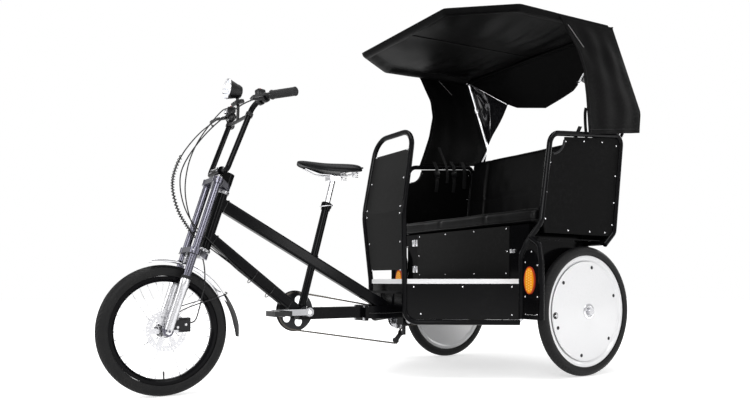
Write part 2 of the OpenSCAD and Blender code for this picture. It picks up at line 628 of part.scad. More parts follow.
module stem() color("#18181a") placed() at_fork() {
    difference() {
        union() {
            translate([0, fork_offset, upper_crown + crown_t + seat_gap]) cylinder(h = 48, r = 24);
            translate([-24, 8, upper_crown + crown_t + 12]) cube([48, fork_offset - 8, 36]);
            translate([0, 8, stem_up + 6]) shaft(-46, 46, 19);
        }
        translate([0, fork_offset, 0]) cylinder(h = 900, r = steerer_d / 2 + run_gap);
        translate([0, 8, stem_up + 6]) shaft(-60, 60, bar_r + run_gap);
    }
}

module handlebar() color("#18181a") placed() {
    foot_bend = fork_point(88, 8, stem_up + 6);
    half = concat([foot_bend], bend(foot_bend, riser_foot, riser_top, 12, 4),
        bend(riser_foot, riser_top, grip_start, 50, 6), bend(riser_top, grip_start, grip_end, 80, 4), [grip_end]);
    flip = [[-1, 0, 0], [0, 1, 0], [0, 0, 1]];
    swept(concat([for (i = [len(half) - 1:-1:0]) half[i]], [for (q = half) flip * q]), bar_r);
}

grip_r = 17;
module grips() color("#1f1f22") placed() both_sides() {
    along = unit(grip_end - grip_start);
    difference() {
        bar(grip_start + 8 * along, grip_end + 5 * along, grip_r);
        bar(grip_start, grip_end + along, bar_r + 0.6);
    }
}

module bar_controls() color("#1b1b1e") placed() both_sides() {
    along = unit(grip_start - riser_top);
    for (t = [0.42, 0.72]) difference() {
        bar(slide(riser_top, grip_start, t) - 9 * along, slide(riser_top, grip_start, t) + 9 * along, 20);
        bar(riser_top + 20 * along, grip_start, bar_r + 0.6);
    }
    // Lever that reaches forward from its clamp and out along the grip
    clamp = slide(riser_top, grip_start, 0.72);
    bar(clamp + [0, -16, -2], clamp + [6, -62, -14], 9);
    bar(clamp + [6, -62, -14], clamp + [60, -72, -18], 5.5);
    bar(clamp + [60, -72, -18], clamp + [128, -34, -18], 5);
    // Shifter or throttle pod above the inner clamp
    pod = slide(riser_top, grip_start, 0.42);
    block(pod + [-14, -20, 16], pod + [16, 18, 44]);
}

lamp_pos = [0, bars_y - 32, 1240];
module headlight() color("#17171a") placed() {
    translate(lamp_pos) rotate([84, 0, 0]) {
        cylinder(h = 42, r1 = 30, r2 = 43);
        translate([0, 0, -26]) cylinder(h = 27, r = 30);
    }
    // Bracket that runs down to a bar between the two risers
    bracket_end = [0, lamp_pos[1] + 4, 1120];
    bar(lamp_pos + [0, 4, -20], bracket_end, 7);
    riser_t = (1120 - riser_foot[2]) / (riser_top[2] - riser_foot[2]);
    tie = slide(riser_foot, riser_top, riser_t);
    bar([-tie[0] + bar_r + seat_gap, tie[1], 1120], [tie[0] - bar_r - seat_gap, tie[1], 1120], 8);
}

guard_r = front_r + 24;
guard_w = 62;
guard_t = 2;
guard_front = -11;          // degrees ahead of the hub's vertical
guard_rear = 66;            // degrees behind it
flap_rear = 97;

// Across the mudguard: a shallow crown, as (radius, X) points
function guard_row(r) = [for (x = [-1:0.25:1]) [r - 11 * x * x, x * guard_w / 2]];
module front_mudguard() color("#c9c9ce") placed() translate(front_hub_pos) {
    rotate([0, 90, 0]) rotate([0, 0, 180 - guard_rear]) rotate_extrude(angle = guard_rear - guard_front, $fn = 96)
        polygon(concat(guard_row(guard_r), [for (i = [8:-1:0]) guard_row(guard_r + guard_t)[i]]));
    // Flap that flares away from the tyre
    flap = [for (a = [guard_rear - 6:4:flap_rear]) let (r = guard_r + 1 + (a - guard_rear + 6) * 0.78) r * [sin(a), cos(a)]];
    side_plate(-27, 54) polygon(concat(flap, [for (i = [len(flap) - 1:-1:0]) flap[i] + 3 * unit(flap[i])]));
    // Stays back from the fork legs, and the bracket under the lower crown
    both_sides() bar([fork_leg_x, 47, 70], [29, (guard_r - 9) * sin(60), (guard_r - 9) * cos(60)], 2.5);
    rotate([-steer_tilt, 0, 0]) translate([0, 0, guard_r])
        block([-12, -8, 0], [12, 8, lower_crown - guard_r - seat_gap]);
}

disc_x = 36;
module brake_caliper() color("#1c1c1f") placed() translate(front_hub_pos) {
    difference() {
        block([disc_x - 8, 50, -6], [disc_x + 12, 92, 50]);
        block([disc_x - 3, 40, -20], [disc_x + 3, 86, 60]);
    }
    // Ear that bolts to the back of the left leg
    difference() {
        block([disc_x + 12, 23, 4], [disc_x + 26, 82, 40]);
        rotate([-steer_tilt, 0, 0]) translate([fork_leg_x, 0, -60]) cylinder(h = 200, r = lower_leg_r + seat_gap);
    }
}

// ---------- cables ----------
// Points of each cable, from the bars forward, down between the fork legs and onto the down tube
cable_routes = [
    [[176, -1545, 1168], [140, -1590, 1145], [80, -1675, 1070], [34, -1740, 985], [14, -1785, 900],
     [12, -1795, 830], [14, -1780, 750], [20, -1745, 680], [32, -1698, 628], [32, -1655, 590],
     [22, -1610, 553], [10, -1560, 511], [8, -1480, 449], [8, -1400, 388], [6, -1352, 351]],
    [[-176, -1545, 1168], [-136, -1595, 1140], [-72, -1690, 1060], [-28, -1770, 965], [-6, -1812, 880],
     [0, -1820, 810], [2, -1800, 730], [0, -1764, 670], [-16, -1722, 622], [-32, -1684, 602],
     [-32, -1650, 582], [-18, -1600, 543], [-3, -1550, 503], [0, -1480, 449], [0, -1400, 388], [0, -1352, 350]],
    [[-138, -1536, 1202], [-108, -1575, 1180], [-66, -1640, 1110], [-34, -1706, 1020], [-20, -1745, 940],
     [-20, -1762, 860], [-22, -1762, 790], [-23, -1745, 710], [-28, -1718, 655], [-33, -1688, 622],
     [-34, -1646, 590], [-28, -1600, 551], [-14, -1545, 499], [-9, -1480, 449], [-8, -1400, 388], [-6, -1354, 352]]];
cable_r = 2.5;
module control_cables() color("#141416") placed()
    for (route = cable_routes) swept(route, cable_r, 8);

front_hose_route = [[40, -1712, 539], [44, -1708, 515], [48, -1706, 474], [51.4, -1710, 430], [51.8, -1719, 387],
                    [51.8, -1730, 343], [48, -1740, 306], [44, -1750, 290], [40, -1761, 286]];
module front_brake_hose() color("#141416") placed() swept(front_hose_route, cable_r, 8);

rear_hose_route = [[28, -912, 302], [28, -820, 300], [28, -720, 302], [31, -640, 296], [70, -560, 268], [150, -490, 256],
                   [226, -420, 250], [246, -340, 254], [220, -260, 258], [150, -180, 268], [104, -142, 284],
                   [92, -133, 300]];
module rear_brake_hose() color("#141416") placed() swept(rear_hose_route, cable_r, 8);

// ---------- wheels ----------
rim_gap = 0.3;
front_bead_r = front_r - 44;
rear_bead_r = rear_r - 44;
rim_half = 16;

module tyre(r, bead_r) turned() difference() {
    translate([r - tyre_w / 2, 0]) circle(tyre_w / 2);
    translate([0, -tyre_w]) square([bead_r + rim_gap, 2 * tyre_w]);
}

module front_tyre() color("#1d1d1f") placed() translate(front_hub_pos) tyre(front_r, front_bead_r);

module front_rim() color("#19191b") placed() translate(front_hub_pos) turned()
    polygon([[front_bead_r - 22, -7], [front_bead_r - 22, 7], [front_bead_r - 12, rim_half],
             [front_bead_r, rim_half], [front_bead_r, -rim_half], [front_bead_r - 12, -rim_half]]);

flange_x = 26;
flange_r = 24;
module front_hub() color("#a9a9ae") placed() translate(front_hub_pos) {
    difference() {
        union() {
            shaft(-33, disc_x + 1, 14);
            for (x = [-flange_x, flange_x]) shaft(x - 1.5, x + 1.5, flange_r + 4);
        }
        shaft(-60, 60, front_axle_d / 2 + run_gap);
    }
}

// Crossed spokes: each leaves its flange and meets the rim a little further round
spoke_lead = 42;
module front_spokes() color("#d4d4d8") placed() translate(front_hub_pos)
    for (i = [0:spoke_count - 1]) {
        side = i % 2 == 0 ? 1 : -1;
        lead = floor(i / 2) % 2 == 0 ? spoke_lead : -spoke_lead;
        a = 360 * i / spoke_count;
        foot = [side * flange_x, (flange_r + 4) * cos(a + lead), (flange_r + 4) * sin(a + lead)];
        head = [side * 3, (front_bead_r - 22) * cos(a), (front_bead_r - 22) * sin(a)];
        bar(foot + 1.4 * unit(head - foot), head - 0.6 * unit(head - foot), 1, $fn = 16);
    }

module brake_disc() color("#d0d0d4") placed() translate(front_hub_pos) turned()
    polygon([[14.3, disc_x - 6], [24, disc_x - 6], [24, disc_x - 1], [brake_disc_d / 2, disc_x - 1],
             [brake_disc_d / 2, disc_x + 1], [14.3, disc_x + 1]]);

hub_r = 30;
hub_half = 26;
cover_r = cover_d / 2;
// The rim, inner cover and hub of a rear wheel, with +X outwards
module wheel_rim() {
    bore = axle_d / 2 + run_gap;
    rim_in = rear_bead_r - 26;
    turned() polygon([[bore, -hub_half], [hub_r, -hub_half], [rim_in, -8], [rear_bead_r - 14, -rim_half],
                      [rear_bead_r, -rim_half], [rear_bead_r, rim_half], [rear_bead_r - 14, rim_half],
                      [rim_in, 8], [rim_in, -5], [hub_r, -hub_half + 4], [hub_r, hub_half], [bore, hub_half]]);
}
// The white outer cover, a shallow cone that lies on the rim's outer side
module wheel_cover() turned()
    polygon([[hub_r + seat_gap, 22], [hub_r + seat_gap, 25], [cover_r, 13], [cover_r, 10]]);

module left_wheel() placed() translate([rear_track / 2, 0, rear_r]) children();
module right_wheel() placed() translate([-rear_track / 2, 0, rear_r]) mirror([1, 0, 0]) children();
module left_tyre() color("#1d1d1f") left_wheel() tyre(rear_r, rear_bead_r);
module left_wheel_rim() color("#e8e8ea") left_wheel() wheel_rim();
module left_wheel_cover() color("#f6f6f8") left_wheel() wheel_cover();
module right_tyre() color("#1d1d1f") right_wheel() tyre(rear_r, rear_bead_r);
module right_wheel_rim() color("#e8e8ea") right_wheel() wheel_rim();
module right_wheel_cover() color("#f6f6f8") right_wheel() wheel_cover();

// ---------- cranks ----------
crank_x = 82;
crank_t = 14;
pedal_x = 138;
pedal_half = 45;
pedal_pin_r = 6;
// side is 1 on the left, where the arm points forward, and -1 on the right
module crank_arm(side) {
    x0 = side > 0 ? crank_x - crank_t / 2 : -crank_x - crank_t / 2;
    side_plate(x0, crank_t) {
        circle(19);
        translate([-side * crank_len, 0]) circle(14);
        translate([-side * crank_len / 2, 0]) square([crank_len, 26], center = true);
    }
    translate([0, -side * crank_len, 0]) shaft(min(side * crank_x, side * (pedal_x + pedal_half - 6)),
        max(side * crank_x, side * (pedal_x + pedal_half - 6)), pedal_pin_r);
}
module crankset() color("#c4c4c8") placed() translate(crank_pos) {
    shaft(-crank_x, crank_x, spindle_r);
    for (side = [1, -1]) crank_arm(side);
}
module chainring() color("#151517") placed() translate(crank_pos) difference() {
    union() {
        shaft(chain_x - 2, chain_x + 2, chainring_r - chain_half_h - 1);
        shaft(chain_x - 9, chain_x - 6.5, chainring_r + 8);
        shaft(chain_x - 9, chain_x + 2, 24);
    }
    shaft(-100, 0, spindle_r + run_gap);
    for (k = [0:4]) rotate([72 * k, 0, 0]) translate([0, 52, 0]) shaft(-100, 0, 19);
}

module pedal(side) translate(crank_pos + [side * pedal_x, -side * crank_len, 0]) difference() {
    union() {
        block([-pedal_half, -38, -11], [pedal_half, -28, 11]);
        block([-pedal_half, 28, -11], [pedal_half, 38, 11]);
        for (x = [-pedal_half, pedal_half - 7]) block([x, -38, -9], [x + 7, 38, 9]);
        shaft(-pedal_half, pedal_half, 12);
    }
    shaft(side > 0 ? -60 : -pedal_half + 4, side > 0 ? pedal_half - 4 : 60, pedal_pin_r + 0.3);
}
module left_pedal() color("#202022") placed() pedal(1);
module right_pedal() color("#202022") placed() pedal(-1);

main_frame();
rear_chassis();
rear_axle();
drive_shaft();
front_chain();
rear_chain();
chain_tensioner();
saddle_post();
saddle();
front_hoop();
front_panel();
floor_board();
floor_trim();
side_skirts();
seat_box();
seat_box_panel();
seat_cushion();
backrest();
rear_panel();
left_side_hoop();
right_side_hoop();
side_panels();
fenders();
marker_lights();
canopy_frame();
canopy_roof();
left_curtain();
right_curtain();
rear_curtain();
rear_brake_hose();
fork();
stem();
handlebar();
grips();
bar_controls();
headlight();
front_mudguard();
brake_caliper();
control_cables();
front_brake_hose();
front_tyre();
front_rim();
front_hub();
front_spokes();
brake_disc();
left_tyre();
left_wheel_rim();
left_wheel_cover();
right_tyre();
right_wheel_rim();
right_wheel_cover();
crankset();
chainring();
left_pedal();
right_pedal();
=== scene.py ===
# %% [markdown]
# # A cycle rickshaw in Blender
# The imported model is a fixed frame: every tube, wheel and panel is already in its place.
# This lesson gives those parts their finishes and adds what a plain model leaves out: tyre tread,
# chain links, rivets, padded seats, the cloth canopy, cables and lamps.
# All sizes are in metres. X points to the rider's left, Y to the back and Z up.

# %% Load the model
import json
from math import acos, atan2, cos, pi, radians, sin

import bmesh
import bpy
import numpy as np
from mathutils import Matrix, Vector, noise


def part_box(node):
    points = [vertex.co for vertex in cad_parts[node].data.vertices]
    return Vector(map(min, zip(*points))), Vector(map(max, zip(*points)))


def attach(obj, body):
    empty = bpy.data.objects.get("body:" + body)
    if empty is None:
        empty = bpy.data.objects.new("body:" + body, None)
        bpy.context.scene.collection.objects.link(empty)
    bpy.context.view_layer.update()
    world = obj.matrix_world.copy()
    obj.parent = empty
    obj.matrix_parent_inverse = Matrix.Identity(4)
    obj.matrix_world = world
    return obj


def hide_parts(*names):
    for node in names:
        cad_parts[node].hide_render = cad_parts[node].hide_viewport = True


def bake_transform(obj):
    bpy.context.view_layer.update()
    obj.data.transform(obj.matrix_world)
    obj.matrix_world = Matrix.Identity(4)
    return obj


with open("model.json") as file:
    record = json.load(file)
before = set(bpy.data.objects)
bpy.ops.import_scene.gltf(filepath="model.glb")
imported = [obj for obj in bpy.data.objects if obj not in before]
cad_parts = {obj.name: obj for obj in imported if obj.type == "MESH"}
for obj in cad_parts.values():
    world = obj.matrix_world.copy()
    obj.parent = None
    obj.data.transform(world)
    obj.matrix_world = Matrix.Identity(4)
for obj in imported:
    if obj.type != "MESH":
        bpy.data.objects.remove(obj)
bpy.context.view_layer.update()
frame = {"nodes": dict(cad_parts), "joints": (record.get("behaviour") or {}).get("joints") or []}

scene = bpy.context.scene

# %% [markdown]
# Measurements start from the rear axle, as on a workshop drawing: how far to the left, how far
# back and how high. The joints of the model give the exact places of the wheels, the crank and
# the line that the fork turns about, so nothing here is measured twice.

# %% Datum points
joint = {j["name"]: j for j in frame["joints"]}
front_hub = Vector(joint["front_wheel_spin"]["pos_m"])
rear_hub = {side: Vector(joint[side + "_wheel_spin"]["pos_m"]) for side in ("left", "right")}
crank = Vector(joint["crank_spin"]["pos_m"])
steer_up = Vector(joint["steering"]["axis"]).normalized()
steer_back = Vector((0, steer_up.z, -steer_up.y))
axle_y = rear_hub["left"].y


def at(x, y, z):
    return Vector((x, y + axle_y, z))


def on_fork(x, back, up):
    return front_hub + Vector((x, 0, 0)) + steer_back * back + steer_up * up


front_r = (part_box("front_tyre")[1].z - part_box("front_tyre")[0].z) / 2
rear_r = (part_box("left_tyre")[1].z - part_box("left_tyre")[0].z) / 2
print("front wheel radius", round(front_r, 4), "rear", round(rear_r, 4))

# %% [markdown]
# The camera stands ahead of the rickshaw on its left, low down, a little above the height of the
# wheels. It looks level, so upright tubes stay upright, and the lens shift lifts the view.

# %% Camera
frame_w = 750
focal_in_widths = 658.4 / frame_w
camera_data = bpy.data.cameras.new("camera")
camera_data.sensor_width = 36
camera_data.lens = 36 * focal_in_widths
camera_data.shift_x = 0.0344
camera_data.shift_y = 0.1085
camera_data.clip_end = 100
camera = bpy.data.objects.new("camera", camera_data)
camera.location = at(2.5793, -2.5910, 0.4490)
camera.rotation_euler = Vector((-0.8514, 0.5245, 0)).to_track_quat("-Z", "Y").to_euler()
scene.collection.objects.link(camera)
scene.camera = camera
scene.view_settings.view_transform = "Standard"

# %% [markdown]
# A white studio: a pale floor, a white surround that only shows behind the object and in its
# shiny parts, and wide soft lamps. Light Path tells which rays see the white. Rays that light
# the object see a dimmer grey, so black paint stays black.

# %% Studio
white_for_diffuse = 0.34
white_in_gloss = 0.62
glow_near, glow_far = 0.52, 1.1


def light_path_mask(nodes, links, outputs):
    path = nodes.new("ShaderNodeLightPath")
    total = path.outputs[outputs[0]]
    for name in outputs[1:]:
        add = nodes.new("ShaderNodeMath")
        add.operation = "MAXIMUM"
        links.new(total, add.inputs[0])
        links.new(path.outputs[name], add.inputs[1])
        total = add.outputs[0]
    return total


world = bpy.data.worlds.new("white_surround")
scene.world = world
world.use_nodes = True
nodes, links = world.node_tree.nodes, world.node_tree.links
nodes.clear()
dim = nodes.new("ShaderNodeBackground")
dim.inputs["Color"].default_value = (1, 1, 1, 1)
dim.inputs["Strength"].default_value = white_for_diffuse
gloss = nodes.new("ShaderNodeBackground")
gloss.inputs["Color"].default_value = (1, 1, 1, 1)
gloss.inputs["Strength"].default_value = white_in_gloss
bright = nodes.new("ShaderNodeBackground")
bright.inputs["Color"].default_value = (1, 1, 1, 1)
bright.inputs["Strength"].default_value = 1.0
mix_gloss = nodes.new("ShaderNodeMixShader")
mix_camera = nodes.new("ShaderNodeMixShader")
links.new(light_path_mask(nodes, links, ["Is Glossy Ray"]), mix_gloss.inputs[0])
links.new(dim.outputs[0], mix_gloss.inputs[1])
links.new(gloss.outputs[0], mix_gloss.inputs[2])
links.new(light_path_mask(nodes, links, ["Is Camera Ray", "Is Transmission Ray"]), mix_camera.inputs[0])
links.new(mix_gloss.outputs[0], mix_camera.inputs[1])
links.new(bright.outputs[0], mix_camera.inputs[2])
links.new(mix_camera.outputs[0], nodes.new("ShaderNodeOutputWorld").inputs[0])

floor_mesh = bpy.data.meshes.new("studio_floor")
half_floor = 14
floor_mesh.from_pydata(
    [(-half_floor, -half_floor, 0), (half_floor, -half_floor, 0), (half_floor, half_floor, 0), (-half_floor, half_floor, 0)],
    [], [(0, 1, 2, 3)])
floor_piece = bpy.data.objects.new("studio_floor", floor_mesh)
scene.collection.objects.link(floor_piece)
floor_finish = bpy.data.materials.new("studio_floor")
floor_finish.use_nodes = True
nodes, links = floor_finish.node_tree.nodes, floor_finish.node_tree.links
nodes.clear()
matt = nodes.new("ShaderNodeBsdfDiffuse")
matt.inputs["Color"].default_value = (0.8, 0.8, 0.8, 1)
glow = nodes.new("ShaderNodeEmission")
far_off = nodes.new("ShaderNodeVectorMath")
far_off.operation = "LENGTH"
links.new(nodes.new("ShaderNodeNewGeometry").outputs["Position"], far_off.inputs[0])
lift = nodes.new("ShaderNodeMapRange")
for socket, value in ((1, 1.3), (2, 4.0), (3, glow_near), (4, glow_far)):
    lift.inputs[socket].default_value = value
links.new(far_off.outputs["Value"], lift.inputs[0])
links.new(lift.outputs[0], glow.inputs["Strength"])
both = nodes.new("ShaderNodeAddShader")
links.new(matt.outputs[0], both.inputs[0])
links.new(glow.outputs[0], both.inputs[1])
mix = nodes.new("ShaderNodeMixShader")
links.new(light_path_mask(nodes, links, ["Is Camera Ray", "Is Glossy Ray", "Is Transmission Ray"]), mix.inputs[0])
links.new(matt.outputs[0], mix.inputs[1])
links.new(both.outputs[0], mix.inputs[2])
links.new(mix.outputs[0], nodes.new("ShaderNodeOutputMaterial").inputs[0])
floor_mesh.materials.append(floor_finish)


def lamp(name, place, target, size, power):
    data = bpy.data.lights.new(name, "AREA")
    data.shape = "RECTANGLE"
    data.size, data.size_y = size
    data.energy = power
    piece = bpy.data.objects.new(name, data)
    piece.location = place
    piece.rotation_euler = (Vector(target) - Vector(place)).to_track_quat("-Z", "Y").to_euler()
    scene.collection.objects.link(piece)
    return piece


# name, place, target, size, power
lamps = [
    ("overhead", (0.4, -0.3, 4.2), (0, 0, 0.6), (3.6, 2.4), 105),
    ("key_left_front", (3.4, -2.6, 2.6), (0, 0.1, 0.8), (1.8, 1.6), 70),
    ("side_strip", (3.6, 1.6, 1.6), (0.2, 0.4, 0.8), (0.7, 2.2), 34),
    ("front_fill", (-0.8, -4.2, 1.8), (0, -0.3, 0.8), (2.4, 1.6), 42),
    ("right_fill", (-3.6, 0.4, 2.0), (0, 0, 0.9), (2.0, 1.8), 34),
    ("back_fill", (0.4, 4.2, 2.2), (0, 0.4, 0.9), (2.2, 1.6), 30),
]
for row in lamps:
    lamp(*row)
print("lamps:", len(lamps))

# %% [markdown]
# Most finishes share a few effects: patches of duller sheen where hands and dust have been,
# thin wear on edges, the grain of vinyl, the weave of cloth and the fine lines of brushed metal.
# Each effect is a node group that gives out colours, masks or heights, and every material
# places the groups that it needs with its own values.

# %% Shader helpers
def add_node(tree, kind, values=None, **settings):
    made = tree.nodes.new("ShaderNode" + kind)
    for key, value in settings.items():
        setattr(made, key, value)
    for socket, value in (values or {}).items():
        if isinstance(value, bpy.types.NodeSocket):
            tree.links.new(value, made.inputs[socket])
        else:
            made.inputs[socket].default_value = value
    return made


def new_group(name, inputs, outputs):
    group = bpy.data.node_groups.new(name, "ShaderNodeTree")
    for socket, kind, value in inputs:
        group.interface.new_socket(socket, in_out="INPUT", socket_type="NodeSocket" + kind).default_value = value
    for socket, kind in outputs:
        group.interface.new_socket(socket, in_out="OUTPUT", socket_type="NodeSocket" + kind)
    return group, group.nodes.new("NodeGroupInput").outputs, group.nodes.new("NodeGroupOutput").inputs


def send(tree, value, socket):
    tree.links.new(value, socket)


# %% Group: patina
patina, given, result = new_group(
    "patina",
    [("Base Color", "Color", (0, 0, 0, 1)), ("Dust Color", "Color", (0.2, 0.2, 0.2, 1)), ("Roughness", "Float", 0.3),
     ("Dust", "Float", 0.1), ("Variation", "Float", 0.1), ("Scale", "Float", 8.0)],
    [("Color", "Color"), ("Roughness", "Float"), ("Mask", "Float")])
place = add_node(patina, "TexCoord").outputs["Object"]
broad = add_node(patina, "TexNoise", {"Vector": place, "Scale": given["Scale"], "Detail": 6.0, "Roughness": 0.6})
fine_scale = add_node(patina, "Math", {0: given["Scale"], 1: 14.0}, operation="MULTIPLY").outputs[0]
fine = add_node(patina, "TexNoise", {"Vector": place, "Scale": fine_scale, "Detail": 4.0})
patches = add_node(patina, "MapRange", {"Value": broad.outputs["Fac"], 1: 0.42, 2: 0.72}).outputs[0]
specks = add_node(patina, "MapRange", {"Value": fine.outputs["Fac"], 1: 0.45, 2: 0.7}).outputs[0]
mask = add_node(patina, "Math", {0: patches, 1: specks}, operation="MULTIPLY").outputs[0]
dust = add_node(patina, "Math", {0: mask, 1: given["Dust"]}, operation="MULTIPLY").outputs[0]
mixed = add_node(patina, "Mix", {"Factor": dust, 6: given["Base Color"], 7: given["Dust Color"]}, data_type="RGBA")
centred = add_node(patina, "Math", {0: broad.outputs["Fac"], 1: 0.5}, operation="SUBTRACT").outputs[0]
varied = add_node(patina, "Math", {0: centred, 1: given["Variation"], 2: given["Roughness"]}, operation="MULTIPLY_ADD")
dulled = add_node(patina, "Math", {0: dust, 1: 0.5, 2: varied.outputs[0]}, operation="MULTIPLY_ADD", use_clamp=True)
send(patina, mixed.outputs[2], result["Color"])
send(patina, dulled.outputs[0], result["Roughness"])
send(patina, mask, result["Mask"])

# %% Group: edge wear
edge_wear, given, result = new_group(
    "edge_wear", [("Radius", "Float", 0.002), ("Amount", "Float", 0.5)], [("Mask", "Float")])
soft = add_node(edge_wear, "Bevel", {"Radius": given["Radius"]}, samples=4).outputs[0]
true_normal = add_node(edge_wear, "NewGeometry").outputs["Normal"]
facing = add_node(edge_wear, "VectorMath", {0: soft, 1: true_normal}, operation="DOT_PRODUCT").outputs["Value"]
edge = add_node(edge_wear, "MapRange", {"Value": facing, 1: 0.99, 2: 0.86}).outputs[0]
broken = add_node(edge_wear, "TexNoise", {"Scale": 55.0, "Detail": 5.0}).outputs["Fac"]
chips = add_node(edge_wear, "MapRange", {"Value": broken, 1: 0.45, 2: 0.62}).outputs[0]
worn = add_node(edge_wear, "Math", {0: edge, 1: chips}, operation="MULTIPLY").outputs[0]
send(edge_wear, add_node(edge_wear, "Math", {0: worn, 1: given["Amount"]}, operation="MULTIPLY").outputs[0],
     result["Mask"])

# %% Group: vinyl grain
vinyl_grain, given, result = new_group("vinyl_grain", [("Scale", "Float", 420.0)], [("Height", "Float")])
place = add_node(vinyl_grain, "TexCoord").outputs["Object"]
cells = add_node(vinyl_grain, "TexVoronoi", {"Vector": place, "Scale": given["Scale"]}, feature="SMOOTH_F1")
pores = add_node(vinyl_grain, "TexNoise", {"Vector": place, "Scale": given["Scale"], "Detail": 3.0})
blend = add_node(vinyl_grain, "Math", {0: cells.outputs["Distance"], 1: pores.outputs["Fac"]}, operation="ADD")
send(vinyl_grain, blend.outputs[0], result["Height"])

# %% Group: cloth weave
cloth_weave, given, result = new_group("cloth_weave", [("Scale", "Float", 300.0)], [("Height", "Float")])
place = add_node(cloth_weave, "TexCoord").outputs["Object"]
threads = None
for direction in ("X", "Y", "Z"):
    wave = add_node(cloth_weave, "TexWave", {"Vector": place, "Scale": given["Scale"], "Distortion": 0.4},
                    bands_direction=direction).outputs["Fac"]
    threads = wave if threads is None else add_node(cloth_weave, "Math", {0: threads, 1: wave}, operation="MULTIPLY").outputs[0]
send(cloth_weave, threads, result["Height"])

# %% Group: brushed lines
brushed_lines, given, result = new_group(
    "brushed_lines", [("Stretch", "Vector", (1, 1, 1)), ("Scale", "Float", 90.0)], [("Height", "Float")])
place = add_node(brushed_lines, "TexCoord").outputs["Object"]
drawn = add_node(brushed_lines, "VectorMath", {0: place, 1: given["Stretch"]}, operation="MULTIPLY").outputs[0]
lines = add_node(brushed_lines, "TexNoise", {"Vector": drawn, "Scale": given["Scale"], "Detail": 5.0})
send(brushed_lines, lines.outputs["Fac"], result["Height"])


# %% A material from the groups
def finish_of(name, color, rough, metal=0.0, specular=0.5, coat=0.0, dust=0.1, dust_color=(0.16, 0.16, 0.165),
              vary=0.12, scale=6.0, wear=None, grain=None, weave=None, brushed=None, bump=0.1, depth=0.0004, sheen=0.0):
    made = bpy.data.materials.new(name)
    made.use_nodes = True
    made.diffuse_color = (*color, 1)
    tree = made.node_tree
    shader = tree.nodes["Principled BSDF"]
    base = add_node(tree, "Group", node_tree=patina)
    for socket, value in (("Base Color", (*color, 1)), ("Dust Color", (*dust_color, 1)), ("Roughness", rough),
                          ("Dust", dust), ("Variation", vary), ("Scale", scale)):
        base.inputs[socket].default_value = value
    final_color = base.outputs["Color"]
    if wear:
        worn_color, amount, radius = wear
        edges = add_node(tree, "Group", node_tree=edge_wear)
        edges.inputs["Radius"].default_value = radius
        edges.inputs["Amount"].default_value = amount
        final_color = add_node(tree, "Mix", {"Factor": edges.outputs["Mask"], 6: final_color, 7: (*worn_color, 1)},
                               data_type="RGBA").outputs[2]
    tree.links.new(final_color, shader.inputs["Base Color"])
    tree.links.new(base.outputs["Roughness"], shader.inputs["Roughness"])
    shader.inputs["Metallic"].default_value = metal
    shader.inputs["Specular IOR Level"].default_value = specular
    shader.inputs["Coat Weight"].default_value = coat
    shader.inputs["Coat Roughness"].default_value = 0.06
    shader.inputs["Sheen Weight"].default_value = sheen
    height = None
    for group, values in ((vinyl_grain, grain), (cloth_weave, weave), (brushed_lines, brushed)):
        if values:
            effect = add_node(tree, "Group", node_tree=group)
            for socket, value in values.items():
                effect.inputs[socket].default_value = value
            height = effect.outputs["Height"]
    if height is None:
        height = add_node(tree, "TexNoise", {"Scale": 260.0, "Detail": 4.0}).outputs["Fac"]
    bumped = add_node(tree, "Bump", {"Strength": bump, "Distance": depth, "Height": height})
    tree.links.new(bumped.outputs[0], shader.inputs["Normal"])
    return made
